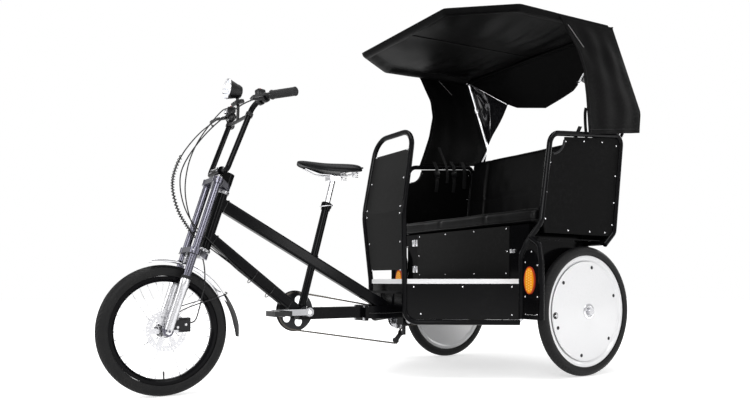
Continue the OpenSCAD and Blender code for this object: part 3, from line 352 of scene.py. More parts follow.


# %% [markdown]
# The finishes follow the real machine: powder-coated tubes with a high gloss, thin matte
# panels, coated canvas, black vinyl, polished and satin steel, white enamel and rubber. The front panel and the
# seat box's panel wear lighter copies of the matte panel grey, as painted light.

# %% Finishes
steel_grey = (0.30, 0.30, 0.31)
finish = {
    "gloss_black": finish_of("gloss_black_paint", (0.0028, 0.0028, 0.0034), 0.19, specular=0.08, dust=0.02, bump=0.02,
                             wear=((0.05, 0.05, 0.055), 0.3, 0.0012), scale=5),
    "box_black": finish_of("box_black_gloss", (0.0030, 0.0030, 0.0034), 0.14, specular=0.11, dust=0.02, vary=0.08,
                           scale=3, bump=0.02),
    "matte_panel": finish_of("matte_panel_grey", (0.0032, 0.0032, 0.0033), 0.5, specular=0.035, dust=0.025, vary=0.1,
                             scale=4, bump=0.25, depth=0.0003),
    # front panel: a lighter copy of the matte panel grey, painted light for its brighter front face
    "front_panel": finish_of("front_panel_painted_light_grey", (0.0100, 0.0100, 0.0100), 0.5, specular=0.08, dust=0.04, vary=0.1,
                             scale=4, bump=0.25, depth=0.0003),
    # seat box panel: a lighter copy of the matte panel grey, painted light for its front face
    "box_panel": finish_of("box_panel_painted_light_grey", (0.0062, 0.0062, 0.0062), 0.45, specular=0.08, dust=0.03, vary=0.1,
                           scale=4, bump=0.2, depth=0.0003),
    "inner_panel": finish_of("inner_panel_black", (0.004, 0.004, 0.0042), 0.42, specular=0.16, dust=0.03, scale=4,
                             bump=0.2, depth=0.0003),
    "vinyl": finish_of("black_vinyl", (0.0030, 0.0030, 0.0032), 0.34, specular=0.12, dust=0.02, vary=0.14, scale=5,
                       grain={"Scale": 420.0}, bump=0.35, depth=0.0005),
    "shiny_vinyl": finish_of("shiny_vinyl", (0.012, 0.012, 0.014), 0.12, specular=0.6, coat=0.8, dust=0.03, vary=0.1,
                             scale=9, grain={"Scale": 300.0}, bump=0.15),
    "saddle_vinyl": finish_of("saddle_vinyl", (0.0060, 0.0066, 0.0075), 0.34, specular=0.12, dust=0.07, scale=9,
                              grain={"Scale": 650.0}, bump=0.4, depth=0.0004),
    "cloth": finish_of("canopy_cloth", (0.0021, 0.0021, 0.0022), 0.46, specular=0.035, dust=0.02, vary=0.12, scale=3,
                       weave={"Scale": 320.0}, bump=0.3, depth=0.0004),
    "webbing": finish_of("black_webbing", (0.009, 0.009, 0.0095), 0.7, specular=0.2, dust=0.06, scale=12,
                         weave={"Scale": 520.0}, bump=0.7, depth=0.0008),
    "thread": finish_of("pale_thread", (0.42, 0.42, 0.42), 0.6, dust=0.1, scale=60, weave={"Scale": 900.0}, bump=0.5),
    "dark_thread": finish_of("dark_thread", (0.028, 0.028, 0.03), 0.6, dust=0.1, scale=60, weave={"Scale": 900.0},
                             bump=0.5),
    "rubber": finish_of("grip_rubber", (0.011, 0.011, 0.012), 0.55, specular=0.25, dust=0.2, scale=20, bump=0.3,
                        grain={"Scale": 900.0}),
    "tyre": finish_of("tyre_rubber", (0.0078, 0.0078, 0.0082), 0.5, specular=0.16, dust=0.2,
                      dust_color=(0.10, 0.095, 0.09), vary=0.15, scale=14, grain={"Scale": 700.0}, bump=0.3),
    "mat": finish_of("floor_mat", (0.016, 0.016, 0.017), 0.7, specular=0.3, dust=0.3, scale=10,
                     grain={"Scale": 500.0}, bump=0.4),
    "white": finish_of("white_enamel", (0.84, 0.84, 0.85), 0.18, dust=0.12, dust_color=(0.55, 0.54, 0.52), vary=0.08,
                       scale=7, bump=0.02, coat=0.3),
    "satin_steel": finish_of("satin_steel", (0.62, 0.62, 0.64), 0.26, metal=1, dust=0.1, dust_color=steel_grey,
                             brushed={"Scale": 60.0, "Stretch": (1, 1, 8)}, bump=0.12, scale=12),
    "polished": finish_of("polished_steel", (0.78, 0.78, 0.80), 0.12, metal=1, dust=0.08, dust_color=steel_grey,
                          vary=0.08, scale=14, bump=0.02),
    "fork_steel": finish_of("fork_steel", (0.12, 0.118, 0.145), 0.24, metal=1, dust=0.12, dust_color=(0.1, 0.1, 0.12),
                            vary=0.2, brushed={"Scale": 40.0, "Stretch": (6, 6, 0.7)}, bump=0.2, scale=16),
    "alloy": finish_of("satin_alloy", (0.30, 0.30, 0.31), 0.3, metal=1, dust=0.12, dust_color=steel_grey,
                       brushed={"Scale": 50.0, "Stretch": (1, 6, 6)}, bump=0.12, scale=14),
    "dark_steel": finish_of("dark_steel", (0.020, 0.020, 0.022), 0.34, metal=0.5, specular=0.2, dust=0.1, scale=14, bump=0.08,
                            wear=((0.35, 0.35, 0.36), 0.5, 0.001)),
    "chain": finish_of("oiled_chain", (0.075, 0.068, 0.06), 0.32, metal=1, dust=0.4, dust_color=(0.04, 0.036, 0.03),
                       scale=30, bump=0.1),
    "rivet": finish_of("rivet_steel", (0.66, 0.66, 0.68), 0.22, metal=1, dust=0.1, dust_color=steel_grey, scale=40),
    "plastic": finish_of("black_plastic", (0.0055, 0.0055, 0.006), 0.32, specular=0.3, dust=0.1, scale=16, bump=0.15),
    "cable": finish_of("cable_sheath", (0.006, 0.006, 0.0065), 0.28, specular=0.3, dust=0.1, scale=20),
    "red_rim": finish_of("lamp_rim", (0.55, 0.05, 0.015), 0.25, dust=0.06, scale=30),
    "amber": finish_of("amber_lens", (0.86, 0.31, 0.003), 0.25, specular=0.1, dust=0.01, coat=0.04, scale=30, bump=0.05),
    "led": finish_of("amber_led", (1.0, 0.62, 0.16), 0.2, dust=0.02, scale=60),
    "reflector": finish_of("lamp_reflector", (0.86, 0.86, 0.88), 0.07, metal=1, dust=0.04, dust_color=steel_grey,
                           scale=30),
}
print("finishes:", len(finish))


# %% Clear lens
clear = bpy.data.materials.new("clear_lens")
clear.use_nodes = True
shader = clear.node_tree.nodes["Principled BSDF"]
shader.inputs["Base Color"].default_value = (0.95, 0.97, 1.0, 1)
shader.inputs["Transmission Weight"].default_value = 1.0
shader.inputs["IOR"].default_value = 1.3
shader.inputs["Metallic"].default_value = 0.0
smears = add_node(clear.node_tree, "TexNoise", {"Scale": 70.0, "Detail": 4.0}).outputs["Fac"]
haze = add_node(clear.node_tree, "MapRange", {"Value": smears, 3: 0.02, 4: 0.10}).outputs[0]
clear.node_tree.links.new(haze, shader.inputs["Roughness"])
finish["lens"] = clear

# %% [markdown]
# Next the mesh helpers. A shape is a list of points and a list of faces. Shapes are merged
# into one piece, which rides on the body that carries it. Rounded edges come from a bevel
# modifier, and normals are smooth except at sharp corners.

# %% Shapes and pieces
sharp_from = radians(38)


def merged(shapes):
    points, faces = [], []
    for more_points, more_faces in shapes:
        start = len(points)
        points += list(more_points)
        faces += [tuple(start + i for i in face) for face in more_faces]
    return points, faces


def shade(mesh, sharp=sharp_from):
    mesh.shade_smooth()
    mesh.set_sharp_from_angle(angle=sharp)


def apply_modifiers(piece):
    graph = bpy.context.evaluated_depsgraph_get()
    done = bpy.data.meshes.new_from_object(piece.evaluated_get(graph))
    piece.modifiers.clear()
    piece.data = done


def make_piece(name, shape, material, body, replaces=(), bevel=0, subdivide=0, weld=0, sharp=sharp_from):
    mesh = bpy.data.meshes.new(name)
    mesh.from_pydata([tuple(p) for p in shape[0]], [], shape[1])
    sheet = bmesh.new()
    sheet.from_mesh(mesh)
    if weld:
        bmesh.ops.remove_doubles(sheet, verts=sheet.verts, dist=weld)
    bmesh.ops.recalc_face_normals(sheet, faces=sheet.faces)
    sheet.to_mesh(mesh)
    sheet.free()
    piece = bpy.data.objects.new(name, mesh)
    scene.collection.objects.link(piece)
    if bevel:
        rounding = piece.modifiers.new("rounding", "BEVEL")
        rounding.width, rounding.segments, rounding.angle_limit = bevel, 2, radians(40)
    if subdivide:
        piece.modifiers.new("subdivide", "SUBSURF").levels = subdivide
    if bevel or subdivide:
        apply_modifiers(piece)
    piece.data.materials.clear()
    piece.data.materials.append(finish[material])
    shade(piece.data, sharp)
    if body:
        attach(piece, body)
    if replaces:
        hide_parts(*replaces)
    return piece


def smooth_line(points, per=6, closed=False):
    points = [Vector(p) for p in points]
    count, out = len(points), []
    for i in range(count if closed else count - 1):
        if closed:
            a, b, c, d = (points[(i + k) % count] for k in (-1, 0, 1, 2))
        else:
            a, b, c, d = (points[min(max(i + k, 0), count - 1)] for k in (-1, 0, 1, 2))
        for step in range(per):
            t = step / per
            out.append(0.5 * (2 * b + (c - a) * t + (2 * a - 5 * b + 4 * c - d) * t * t + (3 * b - 3 * c + d - a) * t ** 3))
    if not closed:
        out.append(points[-1])
    return out


def square_to(vector, direction):
    flat = vector - vector.dot(direction) * direction
    return flat.normalized()


def tube(path, radius, sides=10, closed=False, caps=True, squash=1.0, first=None):
    path = [Vector(p) for p in path]
    count = len(path)
    radii = radius if hasattr(radius, "__len__") else [radius] * count
    points, across = [], None
    for i, p in enumerate(path):
        before = path[(i - 1) % count] if closed or i else p
        after = path[(i + 1) % count] if closed or i < count - 1 else p
        ahead = (after - before).normalized()
        if across is None:
            across = square_to(Vector(first) if first else (Vector((1, 0, 0)) if abs(ahead.x) < 0.8 else Vector((0, 0, 1))), ahead)
        else:
            across = square_to(across, ahead)
        up = ahead.cross(across)
        for k in range(sides):
            a = 2 * pi * k / sides
            points.append(p + radii[i] * (cos(a) * across + squash * sin(a) * up))
    faces = []
    for i in range(count if closed else count - 1):
        j = (i + 1) % count
        for k in range(sides):
            m = (k + 1) % sides
            faces.append((i * sides + k, j * sides + k, j * sides + m, i * sides + m))
    if caps and not closed:
        faces.append(tuple(range(sides))[::-1])
        faces.append(tuple((count - 1) * sides + k for k in range(sides)))
    return points, faces


def lathe(outline, place, direction, segments=32, closed=False):
    # The outline's rows are (radius, distance along the direction).
    along = Vector(direction).normalized()
    side = square_to(Vector((0, 0, 1)) if abs(along.z) < 0.9 else Vector((0, 1, 0)), along)
    other = along.cross(side)
    place = Vector(place)
    points, faces, rows = [], [], len(outline)
    for k in range(segments):
        a = 2 * pi * k / segments
        out = cos(a) * side + sin(a) * other
        points += [place + r * out + d * along for r, d in outline]
    for k in range(segments):
        m = (k + 1) % segments
        for i in range(rows if closed else rows - 1):
            j = (i + 1) % rows
            faces.append((k * rows + i, k * rows + j, m * rows + j, m * rows + i))
    return points, faces


def disc_cap(outline, place, direction, segments=32):
    # A lathe whose ends at radius zero are closed by a weld in make_piece.
    return lathe(outline, place, direction, segments)


def rivet(place, direction, radius=0.004, height=0.0022, segments=10):
    rows = [(radius * cos(a), height * sin(a)) for a in (0, pi / 6, pi / 3, 0.48 * pi)]
    points, faces = lathe([(radius, -0.0006)] + rows, place, direction, segments)
    count = len(rows) + 1
    faces.append(tuple(k * count + count - 1 for k in range(segments)))
    return points, faces


def hex_bolt(place, direction, radius=0.006, height=0.004):
    outline = [(radius * 1.25, 0), (radius * 1.25, height * 0.25), (radius, height * 0.25), (radius, height),
               (radius * 0.55, height), (radius * 0.5, height * 0.45)]
    points, faces = lathe(outline, place, direction, 6)
    faces.append(tuple(k * 6 + 5 for k in range(6)))
    return points, faces


def block(low, high):
    (a, b, c), (d, e, f) = low, high
    points = [(a, b, c), (d, b, c), (d, e, c), (a, e, c), (a, b, f), (d, b, f), (d, e, f), (a, e, f)]
    return points, [(0, 3, 2, 1), (4, 5, 6, 7), (0, 1, 5, 4), (1, 2, 6, 5), (2, 3, 7, 6), (3, 0, 4, 7)]


def turned_block(size, place, x_axis, y_axis):
    x_axis, y_axis = Vector(x_axis).normalized(), Vector(y_axis).normalized()
    z_axis = x_axis.cross(y_axis)
    w, l, h = (s / 2 for s in size)
    points, faces = block((-w, -l, -h), (w, l, h))
    return [Vector(place) + p[0] * x_axis + p[1] * y_axis + p[2] * z_axis for p in points], faces


def cut_plate(outer, holes, thick, origin, x_axis, y_axis):
    # A flat plate with round or shaped holes: outlines are lists of (x, y) in the plate's plane.
    x_axis, y_axis = Vector(x_axis).normalized(), Vector(y_axis).normalized()
    normal = x_axis.cross(y_axis)
    sheet = bmesh.new()
    for loop in [outer, *holes]:
        corners = [sheet.verts.new(Vector(origin) + x * x_axis + y * y_axis) for x, y in loop]
        for i, corner in enumerate(corners):
            sheet.edges.new((corner, corners[(i + 1) % len(corners)]))
    bmesh.ops.triangle_fill(sheet, use_beauty=True, use_dissolve=False, edges=sheet.edges[:])
    bmesh.ops.recalc_face_normals(sheet, faces=sheet.faces)
    grown = bmesh.ops.extrude_face_region(sheet, geom=sheet.faces[:], use_keep_orig=True)
    bmesh.ops.translate(sheet, verts=[g for g in grown["geom"] if isinstance(g, bmesh.types.BMVert)], vec=normal * thick)
    sheet.verts.index_update()
    shape = [v.co.copy() for v in sheet.verts], [tuple(v.index for v in f.verts) for f in sheet.faces]
    sheet.free()
    return shape


def circle(radius, count=24, x=0.0, y=0.0, start=0.0):
    return [(x + radius * cos(start + 2 * pi * k / count), y + radius * sin(start + 2 * pi * k / count)) for k in range(count)]


def mirrored(shape):
    return [Vector((-p[0], p[1], p[2])) for p in shape[0]], [tuple(reversed(face)) for face in shape[1]]


def both_sides(shape):
    return merged([shape, mirrored(shape)])


print("helpers ready")

# %% [markdown]
# The tyres are rounded rings of rubber with a shallow cut tread. A ring of fine rows is bent
# round the wheel, and points that fall in a groove are moved towards the hub. The grooves are
# a centre line and slanted cuts that mirror each other.

# %% Tyres
tyre_half_w = (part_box("front_tyre")[1].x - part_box("front_tyre")[0].x) / 2
groove = 0.0016


def tread_depth(around, across):
    # around counts tread pitches, across runs from -1 to 1 over the section's outer half
    if abs(across) > 0.86:
        return 0
    if abs(abs(across) - 0.12) < 0.045:
        return groove
    slant = (around + 1.6 * abs(across)) % 1
    return groove if slant < 0.26 and abs(across) > 0.2 else 0


def tyre_shape(centre, radius, pitches, per_pitch=6, rows=44):
    tube_r = tyre_half_w
    ring = radius - tube_r
    points, faces = [], []
    count = pitches * per_pitch
    open_from, open_to = radians(-128), radians(128)
    for i in range(count):
        a = 2 * pi * i / count
        for j in range(rows + 1):
            b = open_from + (open_to - open_from) * j / rows
            depth = tread_depth(i / per_pitch, b / radians(62)) if abs(b) < radians(62) else 0
            if abs(abs(b) - radians(104)) < radians(4):
                depth = 0.0007
            r = ring + (tube_r - depth) * cos(b)
            points.append(Vector((centre.x + (tube_r - depth) * sin(b), centre.y + r * cos(a), centre.z + r * sin(a))))
    for i in range(count):
        m = (i + 1) % count
        for j in range(rows):
            faces.append((i * (rows + 1) + j, i * (rows + 1) + j + 1, m * (rows + 1) + j + 1, m * (rows + 1) + j))
    return points, faces


# name, hub, radius, tread pitches, body
tyres = [
    ("front_tyre", front_hub, front_r, 78, "front_wheel"),
    ("left_tyre", rear_hub["left"], rear_r, 92, "left_wheel"),
    ("right_tyre", rear_hub["right"], rear_r, 92, "right_wheel"),
]
for node, hub, radius, pitches, body in tyres:
    make_piece(node + "_tread", tyre_shape(hub, radius, pitches), "tyre", body, [node], sharp=radians(60))
print("tyres:", len(tyres))

# %% [markdown]
# The front wheel is a normal bicycle wheel. Steel spokes leave the hub's flanges in crossed
# pairs and screw into brass-like nipples in the rim. The brake disc is a thin steel ring with
# cut-outs on six arms.

# %% Spokes and nipples
spoke_count = 36
flange_x, flange_r = 0.026, 0.028
rim_inner = (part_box("front_rim")[1].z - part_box("front_rim")[0].z) / 2 - 0.022
spokes, nipples = [], []
for i in range(spoke_count):
    side = 1 if i % 2 == 0 else -1
    lead = radians(42 if (i // 2) % 2 == 0 else -42)
    a = 2 * pi * i / spoke_count
    foot = front_hub + Vector((side * (flange_x + 0.0015), flange_r * 0.88 * cos(a + lead), flange_r * 0.88 * sin(a + lead)))
    knee = front_hub + Vector((side * (flange_x + 0.0028), flange_r * cos(a + lead * 0.98), flange_r * sin(a + lead * 0.98)))
    head = front_hub + Vector((side * 0.003, rim_inner * cos(a), rim_inner * sin(a)))
    spokes.append(tube([foot, knee, knee.lerp(head, 0.5), head], 0.00115, 6))
    out = (knee - head).normalized()
    nipples.append(tube([head + out * -0.001, head + out * 0.012], [0.0028, 0.0022], 8))
make_piece("front_wheel_spokes", merged(spokes), "polished", "front_wheel", ["front_spokes"])
make_piece("front_wheel_nipples", merged(nipples), "rivet", "front_wheel")

# %% Front brake disc and hub trim
disc_low, disc_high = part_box("brake_disc")
disc_r = (disc_high.z - disc_low.z) / 2
disc_x = disc_high.x
vane_count = 30
window = []
for k in range(vane_count):
    a = 2 * pi * k / vane_count
    window.append([(r * cos(a + t), r * sin(a + t)) for r, t in
                   ((0.068, 0.02), (0.0755, 0.075), (0.0755, 0.14), (0.068, 0.085))])
arms = []
for k in range(6):
    a = pi / 3 * k
    span = [(0.024, 0.16), (0.040, 0.28), (0.061, 0.16)]
    arms.append([(r * cos(a + t), r * sin(a + t)) for r, t in span] +
                [(r * cos(a - t + 2 * pi / 6), r * sin(a - t + 2 * pi / 6)) for r, t in reversed(span)])
rotor = cut_plate(circle(disc_r, 96), window + arms + [circle(0.0145, 24)], 0.002,
                  (disc_x - 0.002, front_hub.y, front_hub.z), (0, 1, 0), (0, 0, 1))
make_piece("front_brake_rotor", rotor, "satin_steel", "front_wheel", ["brake_disc"])
carrier = [lathe([(0.0145, 0.029), (0.024, 0.029), (0.024, 0.0342), (0.0145, 0.0342)], front_hub, (1, 0, 0), 32, True)]
carrier += [hex_bolt(front_hub + Vector((disc_x, 0.0195 * cos(a), 0.0195 * sin(a))), (1, 0, 0), 0.0022, 0.0016)
            for a in [pi / 3 * k for k in range(6)]]
make_piece("rotor_carrier_and_bolts", merged(carrier), "dark_steel", "front_wheel")
axle_ends = []
for side in (1, -1):
    end = front_hub + Vector((side * 0.0795, 0, 0))
    axle_ends.append(lathe([(0.0, -0.013), (0.0145, -0.013), (0.0145, -0.009), (0.010, -0.009), (0.010, -0.001), (0.0, 0.0)],
                           end, (side, 0, 0), 6))
make_piece("front_axle_nuts", merged(axle_ends), "rivet", "fork", weld=0.0002)
valve = tube([front_hub + Vector((0, 0, -rim_inner - 0.001)), front_hub + Vector((0, 0, -rim_inner + 0.030))], 0.0028, 10)
make_piece("front_valve", valve, "rubber", "front_wheel")

# %% [markdown]
# The rear wheels are closed with white enamelled discs. Six black screws hold each cover,
# a notch leaves the valve free, and a bright nut with a washer ends the axle.

# %% Rear wheel trim
screw_r = 0.210
for side in ("left", "right"):
    out = 1 if side == "left" else -1
    hub = rear_hub[side]
    face_x = abs(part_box(side + "_wheel_cover")[1 if out > 0 else 0].x)

    def on_cover(radius, angle, proud=0.0):
        drop = (radius - 0.030) / (0.231 - 0.030) * 0.012
        return Vector((out * (face_x - drop + proud), hub.y + radius * cos(angle), hub.z + radius * sin(angle)))

    normal = Vector((out, 0, 0))
    screws = [merged([rivet(on_cover(screw_r, a), normal, 0.0058, 0.0030, 14),
                      lathe([(0.0085, 0), (0.0085, 0.0008), (0.003, 0.0011)], on_cover(screw_r, a), normal, 16)])
              for a in [radians(20 + 60 * k) for k in range(6)]]
    make_piece(side + "_cover_screws", merged(screws), "dark_steel", side + "_wheel")
    notch_at = on_cover(0.214, radians(184), 0.0003)
    notch = [lathe([(0.0, 0.0), (0.0125, 0.0), (0.0135, 0.0012), (0.0152, 0.0008), (0.0158, -0.001)], notch_at, normal, 24)]
    make_piece(side + "_valve_hole", merged(notch), "plastic", side + "_wheel", weld=0.0001)
    stem_from = on_cover(0.222, radians(184), 0.0004)
    stem = tube([stem_from, stem_from + Vector((out * 0.004, 0.014, 0.001))], [0.0032, 0.0026], 10)
    make_piece(side + "_valve", stem, "rivet", side + "_wheel")
    rim_bead = lathe([(0.2300, 0.0135), (0.2335, 0.0140), (0.2350, 0.0152), (0.2362, 0.0140), (0.2362, 0.0120)],
                     hub, normal, 96)
    make_piece(side + "_rim_bead", rim_bead, "white", side + "_wheel")
    cup = lathe([(0.0305, 0.0235), (0.0360, 0.0252), (0.0350, 0.0290), (0.0270, 0.0300), (0.0240, 0.0270), (0.0240, 0.0235)],
                hub, normal, 48, True)
    make_piece(side + "_hub_ring", cup, "polished", side + "_wheel")
    nut = [lathe([(0.0, 0.0425), (0.0075, 0.0425), (0.0088, 0.0400), (0.0128, 0.0396), (0.0150, 0.0375), (0.0150, 0.0290)],
                 hub, normal, 6), lathe([(0.0125, 0.0260), (0.0205, 0.0260), (0.0205, 0.0292), (0.0125, 0.0292)], hub, normal, 32, True)]
    make_piece(side + "_axle_nut", merged(nut), "rivet", "chassis", weld=0.0001)
print("rear wheels trimmed")

# %% [markdown]
# A chain is two rows of plates on rollers. The line that it follows is worked out from the
# cogs: straight runs touch the circles, and arcs wrap round them. Links are then placed at
# equal steps along that line.

# %% Chain lines
link_pitch = 0.0127
drive_shaft = at(0, -0.690, 0.262)
chainring_r, cog_r, small_cog_r, pulley_r, axle_cog_r = 0.084, 0.045, 0.035, 0.015, 0.060
pulleys = [at(0, -0.670, 0.196), at(0, -0.704, 0.161)]
front_chain_x, rear_chain_x = -0.050, -0.078


def toward(a, b):
    return atan2(b.z - a.z, b.y - a.y)


def open_angle(a, ra, b, rb):
    return acos((ra - rb) / (b - a).length)


def crossed_angle(a, ra, b, rb):
    return acos((ra + rb) / (b - a).length)


def arc(centre, radius, start, end, count=20):
    return [Vector((0, centre.y + radius * cos(start + (end - start) * k / count),
                    centre.z + radius * sin(start + (end - start) * k / count))) for k in range(count + 1)]


shaft = Vector((0, drive_shaft.y, drive_shaft.z))
ring = Vector((0, crank.y, crank.z))
axle = Vector((0, axle_y, rear_hub["left"].z))
top = toward(ring, shaft) + open_angle(ring, chainring_r, shaft, cog_r)
low = toward(ring, pulleys[1]) - open_angle(ring, chainring_r, pulleys[1], pulley_r)
turn = toward(pulleys[1], pulleys[0]) - crossed_angle(pulleys[1], pulley_r, pulleys[0], pulley_r)
rise = toward(pulleys[0], shaft) + crossed_angle(pulleys[0], pulley_r, shaft, cog_r)
front_line = (arc(ring, chainring_r, top, low + 2 * pi) + arc(pulleys[1], pulley_r, low, turn)
              + arc(pulleys[0], pulley_r, turn + pi, rise) + arc(shaft, cog_r, rise - pi, top))
top = toward(shaft, axle) + open_angle(shaft, small_cog_r, axle, axle_cog_r)
low = toward(shaft, axle) - open_angle(shaft, small_cog_r, axle, axle_cog_r)
rear_line = arc(shaft, small_cog_r, top, low + 2 * pi) + arc(axle, axle_cog_r, low, top)


# %% Chain links
def spaced(line):
    line = line + [line[0]]
    lengths = [(line[i + 1] - line[i]).length for i in range(len(line) - 1)]
    total = sum(lengths)
    count = 2 * round(total / link_pitch / 2)
    out, i, passed = [], 0, 0.0
    for k in range(count):
        want = total * k / count
        while i < len(lengths) - 1 and passed + lengths[i] < want:
            passed += lengths[i]
            i += 1
        out.append(line[i].lerp(line[i + 1], (want - passed) / max(lengths[i], 1e-9)))
    return out


def link_plate(a, b, x, thick):
    along = (b - a).normalized()
    up = Vector((0, -along.z, along.y))
    middle = (a + b) / 2
    outline = []
    for end, sign in ((b, 1), (a, -1)):
        for k in range(5):
            t = -pi / 2 + pi * k / 4
            outline.append(end + sign * 0.0040 * cos(t) * along + sign * 0.0040 * sin(t) * up)
        outline.append(middle + sign * 0.0030 * up)
    count = len(outline)
    points = [p + Vector((x - thick / 2, 0, 0)) for p in outline] + [p + Vector((x + thick / 2, 0, 0)) for p in outline]
    faces = [tuple(range(count))[::-1], tuple(range(count, 2 * count))]
    faces += [(i, (i + 1) % count, (i + 1) % count + count, i + count) for i in range(count)]
    return points, faces


def chain_shape(line, x):
    pins = spaced(line)
    shapes = []
    for i, pin in enumerate(pins):
        after = pins[(i + 1) % len(pins)]
        gap = 0.0018 if i % 2 else 0.0027
        shapes += [link_plate(pin, after, x - gap, 0.0008), link_plate(pin, after, x + gap, 0.0008)]
        shapes.append(tube([pin + Vector((x - 0.0034, 0, 0)), pin + Vector((x + 0.0034, 0, 0))], 0.0021, 6))
    return merged(shapes), len(pins)


for name, line, x in (("front_chain", front_line, front_chain_x), ("rear_chain", rear_line, rear_chain_x)):
    shape, links_made = chain_shape(line, x)
    make_piece(name + "_links", shape, "chain", "chassis", [name])
    print(name, "links:", links_made)


# %% [markdown]
# A toothed wheel is a flat plate with teeth at the chain's pitch. The chainring has five round
# windows and turns with the cranks. The cogs on the drive shaft and on the axle are smaller.

# %% Chainring and cogs
def toothed(pitch_r, depth=0.0042):
    count = round(2 * pi * pitch_r / link_pitch)
    outline = []
    for k in range(count):
        a = 2 * pi * k / count
        step = 2 * pi / count
        for t, r in ((-0.32, pitch_r - depth * 0.75), (-0.12, pitch_r + depth * 0.55), (0.12, pitch_r + depth * 0.55),
                     (0.32, pitch_r - depth * 0.75)):
            outline.append((r * cos(a + t * step), r * sin(a + t * step)))
    return outline


windows = [circle(0.019, 20, 0.052 * cos(a), 0.052 * sin(a)) for a in [2 * pi * k / 5 for k in range(5)]]
ring_plate = cut_plate(toothed(chainring_r), windows + [circle(0.009, 20)], 0.002,
                       (front_chain_x - 0.001, crank.y, crank.z), (0, 1, 0), (0, 0, 1))
guard_windows = [circle(0.021, 20, 0.052 * cos(a), 0.052 * sin(a)) for a in [2 * pi * k / 5 for k in range(5)]]
guard_plate = cut_plate(circle(0.0915, 64), guard_windows + [circle(0.009, 20)], 0.0022,
                        (front_chain_x - 0.0088, crank.y, crank.z), (0, 1, 0), (0, 0, 1))
boss = lathe([(0.0090, -0.059), (0.024, -0.059), (0.026, -0.052), (0.024, -0.048), (0.0090, -0.048)], crank, (1, 0, 0), 32, True)
ring_bolts = [hex_bolt(Vector((front_chain_x - 0.0088, crank.y + 0.076 * cos(a), crank.z + 0.076 * sin(a))), (-1, 0, 0), 0.0035, 0.0012)
              for a in [2 * pi * (k + 0.5) / 5 for k in range(5)]]
make_piece("chainring_plates", merged([ring_plate, guard_plate, boss]), "dark_steel", "crankset", ["chainring"])
make_piece("chainring_bolts", merged(ring_bolts), "rivet", "crankset")
# x, middle, pitch radius, hole radius
cogs = [(front_chain_x, drive_shaft, cog_r, 0.0086), (rear_chain_x, drive_shaft, small_cog_r, 0.0086),
        (rear_chain_x, axle, axle_cog_r, 0.0265)]
cog_plates = [cut_plate(toothed(r), [circle(bore, 20)], 0.0046, (x - 0.0023, p.y, p.z), (0, 1, 0), (0, 0, 1))
              for x, p, r, bore in cogs]
make_piece("drive_cogs", merged(cog_plates), "satin_steel", "chassis")
crank_caps = [merged([lathe([(0.0, 0.0), (0.009, 0.0), (0.0115, -0.002), (0.0125, -0.006)], crank + Vector((out * 0.0902, 0, 0)), (out, 0, 0), 24)])
              for out in (1, -1)]
make_piece("crank_caps", merged(crank_caps), "polished", "crankset", weld=0.0001)
print("cogs:", len(cogs))

# %% [markdown]
# The fork is a motorcycle-style one: steel stanchions slide in bright tapered lower legs, and
# two clamps join them to the steerer. The lower legs, their dust seals and the clamp bolts are
# added round the plain legs, and ride on the fork so that they steer with it.

# %% Fork legs and clamps
fork_leg_x = 0.060
head_low, head_len, crown_t = 0.345, 0.267, 0.024
upper_crown = head_low + head_len + 0.004
lower_crown = head_low - 0.004 - crown_t
legs, seals, adjusters = [], [], []
for out in (1, -1):
    foot = on_fork(out * fork_leg_x, 0, 0)
    legs.append(lathe([(0.0183, 0.004), (0.0188, 0.02), (0.0186, 0.150), (0.0196, 0.178), (0.0208, 0.186),
                       (0.0208, 0.205), (0.0196, 0.213), (0.0155, 0.2145)], foot, steer_up, 40))
    seals.append(lathe([(0.0154, 0.2145), (0.0200, 0.2150), (0.0196, 0.2215), (0.0168, 0.2260), (0.0154, 0.2262)],
                       foot, steer_up, 32))
    top = upper_crown + crown_t
    adjusters.append(lathe([(0.0, top + 0.010), (0.0085, top + 0.010), (0.0100, top + 0.0075), (0.0125, top + 0.0065),
                            (0.0140, top + 0.0005), (0.0148, top)], foot, steer_up, 24))
make_piece("fork_lower_legs", merged(legs), "satin_steel", "fork")
make_piece("fork_dust_seals", merged(seals), "rubber", "fork")
make_piece("fork_top_caps", merged(adjusters), "polished", "fork", weld=0.0001)

# %% Clamp bolts and head bearings
clamp_bolts = []
for level in (upper_crown + crown_t / 2, lower_crown + crown_t / 2):
    for out in (1, -1):
        place = on_fork(out * (fork_leg_x + 0.0175), -0.012, level)
        clamp_bolts.append(tube([place, place - steer_back * 0.004], 0.0042, 10))
        clamp_bolts.append(hex_bolt(on_fork(out * 0.024, 0.034, level + crown_t / 2), steer_up, 0.004, 0.004))
make_piece("clamp_bolts", merged(clamp_bolts), "rivet", "fork")
cups = [lathe([(0.0222, 0.0), (0.0262, 0.001), (0.0262, 0.010), (0.0228, 0.014)], on_fork(0, 0.053, head_low), steer_up, 40),
        lathe([(0.0222, 0.0), (0.0262, -0.001), (0.0262, -0.010), (0.0228, -0.014)], on_fork(0, 0.053, head_low + head_len), steer_up, 40)]
make_piece("head_bearing_cups", merged(cups), "alloy", "chassis")
lower_clamp = cut_plate([(fork_leg_x * sx, y) for sx, y in ((-1.42, -0.006), (-1.36, -0.020), (-0.6, -0.0245), (0.6, -0.0245),
                         (1.36, -0.020), (1.42, -0.006), (1.36, 0.014), (0.4, 0.040), (-0.4, 0.040), (-1.36, 0.014))],
                        [circle(0.0153, 20, fork_leg_x, 0), circle(0.0153, 20, -fork_leg_x, 0)], 0.0012,
                        on_fork(0, 0, lower_crown - 0.0012), (1, 0, 0), steer_back)
make_piece("lower_clamp_skirt", lower_clamp, "dark_steel", "fork")

# %% [markdown]
# The mudguard is a thin crowned strip of bright metal with rolled edges. Wire stays hold its
# back end and a small clip hangs it from the clamp above. A black rubber flap ends it.

# %% Front mudguard
guard_r, guard_half_w = front_r + 0.024, 0.031


